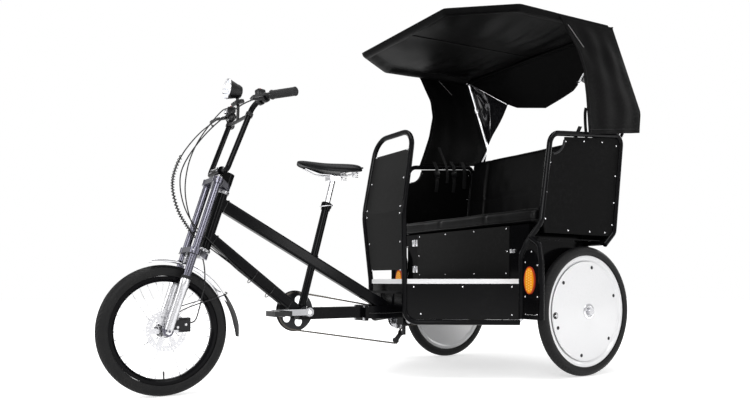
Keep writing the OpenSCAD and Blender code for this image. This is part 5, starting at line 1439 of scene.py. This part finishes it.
def inflate(piece, cap, pressure=4.0, frames=20, voxel=0.012):
    remesh = piece.modifiers.new("remesh", "REMESH")
    remesh.mode, remesh.voxel_size = "VOXEL", voxel
    apply_modifiers(piece)
    start = np.array([v.co for v in piece.data.vertices])
    cloth = piece.modifiers.new("cloth", "CLOTH")
    cloth.settings.quality = 4
    cloth.settings.mass = 0.3
    cloth.settings.tension_stiffness = 15
    cloth.settings.compression_stiffness = 15
    cloth.settings.bending_stiffness = 2
    cloth.settings.use_pressure = True
    cloth.settings.uniform_pressure_force = pressure
    cloth.settings.effector_weights.gravity = 0
    cloth.collision_settings.use_collision = False
    cloth.point_cache.frame_start, cloth.point_cache.frame_end = 1, frames
    for number in range(1, frames + 1):
        scene.frame_set(number)
    apply_modifiers(piece)
    scene.frame_set(1)
    moved = np.array([v.co for v in piece.data.vertices]) - start
    far = float(np.linalg.norm(moved, axis=1).max())
    settled = start + moved * min(1, cap / max(far, 1e-9))
    piece.data.vertices.foreach_set("co", settled.astype(np.float32).ravel())
    piece.data.update()
    return far


def shape_piece(piece, change):
    flat = np.empty(len(piece.data.vertices) * 3, np.float32)
    piece.data.vertices.foreach_get("co", flat)
    co = flat.reshape(-1, 3).astype(float)
    change(co)
    piece.data.vertices.foreach_set("co", co.astype(np.float32).ravel())
    piece.data.update()


def soften(piece, steps=6):
    smooth = piece.modifiers.new("smooth", "SMOOTH")
    smooth.factor, smooth.iterations = 0.5, steps
    apply_modifiers(piece)


# %% Seat cushion
seat_low, seat_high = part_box("seat_cushion")
swell = 0.010
margin = Vector((swell, swell, 0.002))
cushion = make_piece("seat_cushion_pad", rounded_pad(seat_low + margin, seat_high - Vector((swell, swell, swell * 1.3)), 0.026, (84, 40, 10)),
                     "vinyl", "chassis", ["seat_cushion"], weld=0.0004)
reach = inflate(cushion, swell, pressure=3.5)
seam_xs = (-0.171, 0.171)


def finish_cushion(co):
    top, base = seat_high.z, seat_low.z
    for p in co:
        across = sum(max(0.0, 1 - abs(p[0] - x) / 0.014) ** 2 for x in seam_xs)
        height = (p[2] - base) / (top - base)
        if height > 0.5:
            p[2] -= 0.006 * across
        if p[1] < seat_low.y + 0.03:
            p[1] += 0.004 * across
        wave = noise.noise(Vector((p[0] * 7, p[1] * 5, 1.7)))
        p[2] += 0.0026 * wave * max(0.0, height)
        p[2] = max(p[2], base + 0.0006)


soften(cushion, 3)
shape_piece(cushion, finish_cushion)
cushion.data.materials.clear()
cushion.data.materials.append(finish["vinyl"])
shade(cushion.data, radians(80))
half_x, front, back = seat_high.x - 0.0085, seat_low.y + 0.0075, seat_high.y - 0.010
piping_loop = []
for x, y in ((half_x - 0.02, front), (half_x, front + 0.02), (half_x, back - 0.02), (half_x - 0.02, back),
             (-half_x + 0.02, back), (-half_x, back - 0.02), (-half_x, front + 0.02), (-half_x + 0.02, front)):
    piping_loop.append(Vector((x, y, 0)))
loop = []
for i, a in enumerate(piping_loop):
    b = piping_loop[(i + 1) % 8]
    steps = max(2, int((b - a).length / 0.02))
    loop += [a.lerp(b, k / steps) for k in range(steps)]
for z, label in ((seat_high.z - 0.0195, "upper"), (seat_low.z + 0.016, "lower")):
    line = [Vector((p.x + 0.0006 * sin(31 * p.y), p.y + 0.0006 * sin(23 * p.x), z + 0.0010 * sin(17 * p.x + 9 * p.y))) for p in loop]
    make_piece("cushion_piping_" + label, tube(line, 0.0030, 8, closed=True), "vinyl", "chassis")
print("cushion swelled by", round(reach, 4))

# %% Backrest
rest_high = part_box("backrest")[1]
lean = Vector((0, (0.236 - 0.171) / (1.180 - 0.684), 1)).normalized()
rest_back_low = at(0, 0.171 + (0.800 - 0.684) * 0.131, 0.800)
rest_len = (1.188 - 0.800) / lean.z
rest_thick = 0.060
rest_half = rest_high.x
outward = Vector((0, -lean.z, lean.y))
local_low, local_high = Vector((-rest_half + swell, 0.0015, swell)), Vector((rest_half - swell, rest_thick - swell * 1.1, rest_len - swell))
points, faces = rounded_pad(local_low, local_high, 0.021, (84, 8, 32))
placed_points = [rest_back_low + Vector((p.x, 0, 0)) + outward * p.y + lean * p.z for p in points]
backrest = make_piece("backrest_pad", (placed_points, faces), "vinyl", "chassis", ["backrest"], weld=0.0004)
reach = inflate(backrest, swell, pressure=3.5)
rest_seams = (-0.33, 0.33)


def finish_backrest(co):
    for p in co:
        local = Vector(p) - rest_back_low
        depth, up = local.dot(outward), local.dot(lean)
        across = sum(max(0.0, 1 - abs(p[0] - x) / 0.016) ** 2 for x in rest_seams)
        level = max(0.0, 1 - abs(up - 0.135) / 0.013) ** 2
        front = max(0.0, min(1.0, depth / rest_thick))
        push = -0.009 * across * front - 0.006 * level * front
        push += 0.0035 * noise.noise(Vector((p[0] * 6, p[2] * 6, 4.2))) * front
        push += 0.002 * noise.noise(Vector((p[0] * 19, p[2] * 15, 9.0))) * front
        push = max(push, 0.0012 - depth)
        p[0], p[1], p[2] = Vector(p) + outward * push


soften(backrest, 3)
shape_piece(backrest, finish_backrest)
backrest.data.materials.clear()
backrest.data.materials.append(finish["vinyl"])
shade(backrest.data, radians(80))
print("backrest swelled by", round(reach, 4))

# %% [markdown]
# The hood is one sheet of coated canvas. It is stretched over the bows, folds down at each
# side into a curtain and at the back into a short panel, and its free edges are hemmed.
# The grid follows the cut of the cloth. The bows lie in a sewn pocket, so the cloth sags
# a little between them and pulls into folds near its corners.

# %% Hood surface
roof_front, roof_break, curtain_start, roof_back = -0.720, -0.450, -0.210, 0.182
nose_half, side_half, back_half, roof_top = 0.335, 0.525, 0.519, 1.690
side_flare, back_slope = 0.062, 0.46
# Rows of the curtains' front edge: height, place on the left, place on the right
front_edge = np.array([(1.134, -0.035, -0.168), (1.220, -0.038, -0.135), (1.320, -0.042, -0.100),
                       (1.440, -0.052, -0.080), (1.530, -0.090, -0.100), (1.600, -0.150, -0.150),
                       (1.690, -0.210, -0.210)])
back_edge = np.array([(1.186, 0.352), (1.290, 0.372), (1.690, 0.182)])
back_hem = np.array([(0.0, 1.426), (0.205, 1.472), (0.265, 1.505), (0.519, 1.684)])


def roof_height(y):
    return 1.648 + 0.042 * (y - roof_front) / 0.907


def roof_half(y):
    if y < roof_break:
        return nose_half + (side_half - nose_half) * (y - roof_front) / (roof_break - roof_front)
    return side_half + (back_half - side_half) * (y - roof_break) / (roof_back - roof_break)


def ease(value):
    value = max(0.0, min(1.0, value))
    return value * value * (3 - 2 * value)


def roof_point(u, y, lower=0.0):
    half = roof_half(y)
    x = u * half
    held = ease((1 - abs(u)) * half / 0.09) * ease((y - roof_front) / 0.10) * ease((roof_back - y) / 0.06)
    bay = sin(pi * min(1, abs(u) * 1.02)) ** 2
    toward_back = ease((y + 0.50) / 0.45)
    folds = 0.0042 * toward_back * sin(2 * pi * (y + 0.22 * abs(x)) / 0.105 + 2.4 * noise.noise(Vector((x * 3, y * 3, 0))))
    folds += 0.0038 * sin(2 * pi * (0.55 * x + y) / 0.19 + 1.3) * ease((abs(x) - 0.05) / 0.2)
    broad = 0.006 * noise.noise(Vector((x * 4.2, y * 3.1, 2.0)))
    sag = -0.017 * bay * (0.6 + 0.4 * ease((y - roof_front) / 0.4))
    return at(x, y, roof_height(y) + held * (sag + folds * bay + broad * bay) - lower)


def curtain_point(side, s, t, out=0.0):
    # s runs from the front edge to the back one and t from the roof to the hem.
    column = 1 if side > 0 else 2
    y_top = curtain_start + (roof_back - curtain_start) * s
    z_top = roof_height(y_top)
    front_z = z_top - t * (z_top - 1.134)
    back_z = z_top - t * (z_top - 1.186)
    y_front = np.interp(front_z, front_edge[:, 0], front_edge[:, column]) if t else curtain_start
    y_back = np.interp(back_z, back_edge[:, 0], back_edge[:, 1]) if t else roof_back
    y = y_front + (y_back - y_front) * s
    z = front_z + (back_z - front_z) * s
    free = ease(t / 0.14) * ease((1 - s) / 0.12) * (0.35 + 0.65 * ease(s / 0.2)) * (1 - 0.35 * ease((t - 0.8) / 0.2))
    wave = 0.0018 * sin(2 * pi * (s * 3.1 + 0.25 * t) + 1.7 * noise.noise(Vector((y * 4, z * 2, side))))
    wave += 0.0022 * sin(2 * pi * (s * 1.2 - t * 2.6) + side) * (1 - t)
    wave += 0.0028 * noise.noise(Vector((y * 9, z * 4, 7.0 * side)))
    x = roof_half(y_top) + (z_top - z) * side_flare + free * (0.0035 * sin(pi * t) + wave) + out
    return at(side * x, y, z)


def back_point(u, t, out=0.0):
    x = u * back_half
    low = max(0.004, roof_top - np.interp(abs(x), back_hem[:, 0], back_hem[:, 1]))
    z = roof_height(roof_back) - t * low
    free = ease(t / 0.2) * ease((1 - abs(u)) / 0.2)
    wave = 0.004 * sin(2 * pi * (x * 2.3 + 0.8 * t) + 2 * noise.noise(Vector((x * 3, z * 5, 1.0))))
    wave += 0.005 * noise.noise(Vector((x * 6, z * 8, 3.0)))
    return at(x * (1 + 0.012 * t), roof_back + (roof_top - z) * back_slope + free * wave + out, z)


def grid_of(rows):
    wide = len(rows[0])
    faces = [(i * wide + j, i * wide + j + 1, (i + 1) * wide + j + 1, (i + 1) * wide + j)
             for i in range(len(rows) - 1) for j in range(wide - 1)]
    return [p for row in rows for p in row], faces


def steps(start, end, count):
    return [start + (end - start) * k / count for k in range(count + 1)]


# %% Hood sheet
roof_rows = steps(roof_front, roof_break, 14) + steps(roof_break, curtain_start, 12)[1:] + steps(curtain_start, roof_back, 20)[1:]
across = steps(-1, 1, 54)
hood_shape = merged([
    grid_of([[roof_point(u, y) for u in across] for y in roof_rows]),
    grid_of([[back_point(u, t) for u in across] for t in steps(0, 1, 12)])]
    + [grid_of([[curtain_point(side, s, t) for s in steps(0, 1, 20)] for t in steps(0, 1, 28)]) for side in (-1, 1)])
hood = make_piece("canopy_hood", hood_shape, "cloth", "chassis",
                  ["canopy_roof", "left_curtain", "right_curtain", "rear_curtain"], subdivide=1, weld=0.0012)
hood_area = sum(face.area for face in hood.data.polygons)
ply = hood.modifiers.new("ply", "SOLIDIFY")
ply.thickness, ply.offset, ply.use_even_offset = 0.0014, 0, True
apply_modifiers(hood)
shade(hood.data, radians(80))
print("hood area", round(hood_area, 3), "m2")

# %% Pocket, seams and hems
edge_path = [(side_half - 0.001, 0.150), (side_half, roof_break), (nose_half, roof_front), (-nose_half, roof_front),
             (-side_half, roof_break), (-side_half + 0.001, 0.150)]


def inset(path, far):
    lines = []
    for (ax, ay), (bx, by) in zip(path, path[1:]):
        length = ((bx - ax) ** 2 + (by - ay) ** 2) ** 0.5
        # Going from the left side round the front to the right, the inside is on this hand.
        nx, ny = (by - ay) / length * -1, (bx - ax) / length
        inward = -1 if (0 - ax) * nx + (-0.3 - ay) * ny < 0 else 1
        lines.append((ax + inward * nx * far, ay + inward * ny * far, bx - ax, by - ay))
    out = [(lines[0][0], lines[0][1])]
    for (px, py, dx, dy), (qx, qy, ex, ey) in zip(lines, lines[1:]):
        k = ((qx - px) * ey - (qy - py) * ex) / (dx * ey - dy * ex)
        out.append((px + k * dx, py + k * dy))
    px, py, dx, dy = lines[-1]
    out.append((px + dx, py + dy))
    return out


def along_edge(far, drop, wobble=0.0):
    row = []
    corners = inset(edge_path, far)
    counts = (30, 18, 34, 18, 30)
    for (ax, ay), (bx, by), count in zip(corners, corners[1:], counts):
        for k in range(count):
            x, y = ax + (bx - ax) * k / count, ay + (by - ay) * k / count
            row.append(at(x, y, roof_height(y) - drop + wobble * noise.noise(Vector((x * 13, y * 13, far * 40)))))
    row.append(at(*corners[-1], roof_height(corners[-1][1]) - drop))
    return row


# The rows are (distance in from the edge, depth below the roof, unevenness).
pocket_section = [(0.0004, 0.0006, 0), (0.0012, 0.008, 0.001), (0.007, 0.0185, 0.0015), (0.0165, 0.0248, 0.001),
                  (0.030, 0.0262, 0.001), (0.042, 0.0225, 0.003), (0.053, 0.0145, 0.004), (0.063, 0.0075, 0.002),
                  (0.072, 0.0035, 0.0008), (0.080, 0.0022, 0.0)]
pocket = make_piece("canopy_bow_pocket", grid_of([along_edge(*row) for row in pocket_section]), "cloth", "chassis",
                    subdivide=1, sharp=radians(80))
seam_rows = [[roof_point(u, y, lower=d) for y in steps(roof_front + 0.03, roof_back - 0.02, 60)]
             for u, d in ((-0.0115, 0.0010), (-0.0115, 0.0032), (0.0115, 0.0032), (0.0115, 0.0010))]
cross_rows = [[roof_point(u, y, lower=d) for u in steps(-0.93, 0.93, 60)]
              for y, d in ((0.150, 0.0012), (0.151, 0.0034), (0.164, 0.0034), (0.165, 0.0012))]
seams = make_piece("canopy_seams", merged([grid_of(seam_rows), grid_of(cross_rows)]), "cloth", "chassis")
crease_z = roof_height(0.171) - 0.0138
crease = smooth_line([at(x, 0.171, crease_z - 0.001 * abs(sin(9 * x))) for x in steps(-0.500, 0.500, 12)], 3)
make_piece("canopy_crease_sleeve", tube(crease, 0.0118, 14, squash=1.08), "cloth", "chassis")


def hem_strip(point, wide, layer):
    return merged([grid_of([[point(a, b, sign * layer) for b in wide[1]] for a in wide[0]]) for sign in (-1, 1)])


hems = []
for side in (-1, 1):
    hems.append(hem_strip(lambda t, s, out: curtain_point(side, s, t, out), (steps(0.05, 1, 40), steps(0.0, 0.055, 3)), 0.0013))
    hems.append(hem_strip(lambda s, t, out: curtain_point(side, s, t, out), (steps(0.0, 1, 30), steps(0.955, 1.0, 3)), 0.0014))
hems.append(hem_strip(lambda u, t, out: back_point(u, t, out), (steps(-0.9, 0.9, 60), steps(0.91, 1.0, 2)), 0.0013))
hem = make_piece("canopy_hems", merged(hems), "cloth", "chassis")


def stitches(path, long=0.0055, gap=0.0035, radius=0.00045):
    # Short dashes along a line, each a thin tube
    path = [Vector(p) for p in path]
    far = np.cumsum([0.0] + [(b - a).length for a, b in zip(path, path[1:])])

    def spot(d):
        i = min(len(path) - 2, max(0, int(np.searchsorted(far, d)) - 1))
        return path[i].lerp(path[i + 1], (d - far[i]) / max(1e-9, far[i + 1] - far[i]))

    return merged([tube([spot(d), spot(min(far[-1], d + long))], radius, 4) for d in np.arange(0, far[-1] - long, long + gap)])


sewing = [stitches(along_edge(0.077, 0.0030)), stitches(along_edge(0.069, 0.0052))]
for u in (-0.0085, 0.0085):
    sewing.append(stitches([roof_point(u, y, lower=0.0034) for y in steps(roof_front + 0.04, roof_back - 0.03, 60)]))
for side in (-1, 1):
    for sign in (-1, 1):
        sewing.append(stitches([curtain_point(side, 0.049, t, sign * 0.0017) for t in steps(0.07, 0.99, 50)]))
        sewing.append(stitches([curtain_point(side, s, 0.960, sign * 0.0018) for s in steps(0.03, 0.98, 30)]))
make_piece("canopy_stitching", merged(sewing), "dark_thread", "chassis")
# A pale seam on each curtain shows where the corner patch is sewn on.
def on_curtain(side, y, z):
    return at(side * (0.5215 + (roof_top - z) * side_flare + (0.006 if side > 0 else -0.008)), y, z)


pale = []
for side, (ya, za), (yb, zb) in ((-1, (-0.072, 1.671), (0.061, 1.585)), (1, (-0.148, 1.629), (-0.045, 1.542))):
    line = [on_curtain(side, ya + (yb - ya) * k / 12, za + (zb - za) * k / 12) for k in range(13)]
    pale.append(stitches(line, 0.0075, 0.0015, 0.0009))
make_piece("curtain_pale_stitching", merged(pale), "thread", "chassis")
print("hood stitches:", sum(len(shape[1]) // 6 for shape in sewing + pale))

# %% Corner gussets and stay rods
for side in (-1, 1):
    top, low, inner = (at(side * x, y, z) for x, y, z in ((0.514, 0.186, 1.680), (0.5245, 0.358, 1.312), (0.262, 0.270, 1.505)))

    def gusset_point(a, b):
        edge = (low - top).lerp(inner - top, b)
        p = top + a * edge
        swell = sin(pi * b) * (0.012 * sin(pi * a) + 0.007 * sin(2 * pi * (a * 1.7 + b * 0.8)) * a)
        swell += 0.006 * noise.noise(Vector((a * 4, b * 3, 5.0 * side))) * sin(pi * b)
        return p + Vector((0, swell + 0.002, 0))

    gusset = make_piece("left_canopy_gusset" if side > 0 else "right_canopy_gusset",
                        grid_of([[gusset_point(a, b) for b in steps(0, 1, 16)] for a in steps(0.02, 1, 28)]),
                        "shiny_vinyl", "chassis", subdivide=1)
    gusset_area = sum(face.area for face in gusset.data.polygons)
    ply = gusset.modifiers.new("ply", "SOLIDIFY")
    ply.thickness, ply.offset = 0.0012, 0
    apply_modifiers(gusset)
    shade(gusset.data, radians(80))
print("gusset area", round(gusset_area, 4), "m2")
stay_top, stay_low = (0.503, 0.172, 1.674), (0.256, 0.262, 1.498)
leg_spot, leg_way = Vector((0.5075, 0.243, 1.512)), Vector((0, 0.171, -0.391)).normalized()
rods = [tube([at(*stay_top), at(*stay_low)], 0.0048, 12)]
rods.append(lathe([(0.0, -0.006), (0.0075, -0.006), (0.0085, 0), (0.0075, 0.006), (0.0, 0.006)], at(*stay_low), (0, 1, 0), 14))
rods.append(lathe([(0.0, -0.013), (0.011, -0.013), (0.0125, -0.009), (0.0125, 0.009), (0.011, 0.013), (0.0, 0.013)],
                  at(*stay_top), (1, 0, 0), 16))
knuckle = [(0.0098, -0.015), (0.0128, -0.015), (0.0135, -0.012), (0.0135, 0.012), (0.0128, 0.015), (0.0098, 0.015)]
rods.append(lathe(knuckle, at(*leg_spot), leg_way, 18))
rods.append(hex_bolt(at(leg_spot.x - 0.012, leg_spot.y, leg_spot.z), (-1, 0, 0), 0.006, 0.007))
make_piece("canopy_stays", both_sides(merged(rods)), "polished", "chassis", weld=0.0001)

# %% [markdown]
# Webbing straps hold the curtains' hems to the side tubes. Each strap ends in a plastic
# buckle, and the buckles hang inside the cabin where a passenger can reach them.

# %% Tie straps and buckles
def strap(path, wide=0.025, thick=0.0018, across=(0, 1, 0)):
    path = smooth_line(path, 5)
    across = Vector(across) * wide / 2
    rows = []
    for i, p in enumerate(path):
        ahead = (path[min(i + 1, len(path) - 1)] - path[max(i - 1, 0)]).normalized()
        up = ahead.cross(across).normalized() * thick / 2
        rows.append([p - across - up, p + across - up, p + across + up, p - across + up])
    points, faces = [q for row in rows for q in row], []
    for i in range(len(rows) - 1):
        faces += [(4 * i + k, 4 * i + (k + 1) % 4, 4 * i + 4 + (k + 1) % 4, 4 * i + 4 + k) for k in range(4)]
    faces += [(3, 2, 1, 0), tuple(4 * (len(rows) - 1) + k for k in range(4))]
    return points, faces


strap_x = 0.508
straps, buckles = [], []
for y, top_z, low_z in ((-0.070, 1.150, 1.115), (0.063, 1.165, 1.122)):
    straps.append(strap([at(0.536, y, top_z + 0.02), at(0.524, y, top_z), at(0.511, y, top_z - 0.02), at(strap_x, y, low_z)]))
    straps.append(strap([at(strap_x, y, low_z - 0.045), at(strap_x - 0.002, y, low_z - 0.075), at(strap_x + 0.004, y, low_z - 0.110),
                         at(0.517, y, low_z - 0.130)]))
    middle = at(strap_x, y, low_z - 0.022)
    buckles.append(turned_block((0.009, 0.032, 0.034), middle, (1, 0, 0), (0, 1, 0)))
    for edge in (-1, 1):
        buckles.append(turned_block((0.0075, 0.006, 0.020), middle + Vector((0, 0.0175 * edge, 0.002)), (1, 0, 0), (0, 1, 0)))
    buckles.append(turned_block((0.0095, 0.033, 0.004), middle + Vector((0, 0, 0.021)), (1, 0, 0), (0, 1, 0)))
    buckles.append(turned_block((0.0095, 0.033, 0.004), middle - Vector((0, 0, 0.021)), (1, 0, 0), (0, 1, 0)))
long_strap = strap([at(0.536, -0.030, 1.262), at(0.528, -0.026, 1.235), at(0.518, -0.012, 1.190), at(0.510, 0.004, 1.140),
                    at(0.507, 0.010, 1.090), at(0.514, 0.012, 1.045)], wide=0.020)
back_strap = strap([at(0.540, 0.150, 1.190), at(0.520, 0.150, 1.160), at(0.511, 0.150, 1.120), at(0.513, 0.150, 1.020)], wide=0.030)
make_piece("tie_straps", both_sides(merged(straps + [long_strap, back_strap])), "webbing", "chassis", bevel=0.0004)
make_piece("strap_buckles", both_sides(merged(buckles)), "plastic", "chassis", bevel=0.0012)
print("straps:", 2 * (len(straps) + 2), "buckles:", 4)

# %% [markdown]
# CAD parts whose shape is already right keep it and only get their finish. Each row of the
# table names a finish and the parts that wear it.

# %% Finishes of the carried-over parts
carried = {
    "gloss_black": ["main_frame", "rear_chassis", "front_hoop", "left_side_hoop", "right_side_hoop", "handlebar",
                    "front_rim", "stem"],
    "box_black": ["side_skirts", "seat_box", "fenders"],
    "matte_panel": ["side_panels"],
    # front_panel wears a lighter copy of the matte panel grey, painted light
    "front_panel": ["front_panel"],
    # box_panel wears a lighter copy of the matte panel grey, painted light
    "box_panel": ["seat_box_panel"],
    "inner_panel": ["rear_panel", "floor_board"],
    "white": ["floor_trim", "left_wheel_rim", "left_wheel_cover", "right_wheel_rim", "right_wheel_cover"],
    "satin_steel": ["rear_axle", "drive_shaft"],
    "polished": ["saddle_post", "canopy_frame"],
    "dark_steel": ["chain_tensioner", "brake_caliper"],
    "fork_steel": ["fork"],
    "alloy": ["front_hub", "crankset"],
    "plastic": ["left_pedal", "right_pedal"],
}
for key, names in carried.items():
    for name in names:
        mesh = frame["nodes"][name].data
        mesh.materials.clear()
        mesh.materials.append(finish[key])
        shade(mesh)
print("carried-over parts:", sum(len(names) for names in carried.values()))
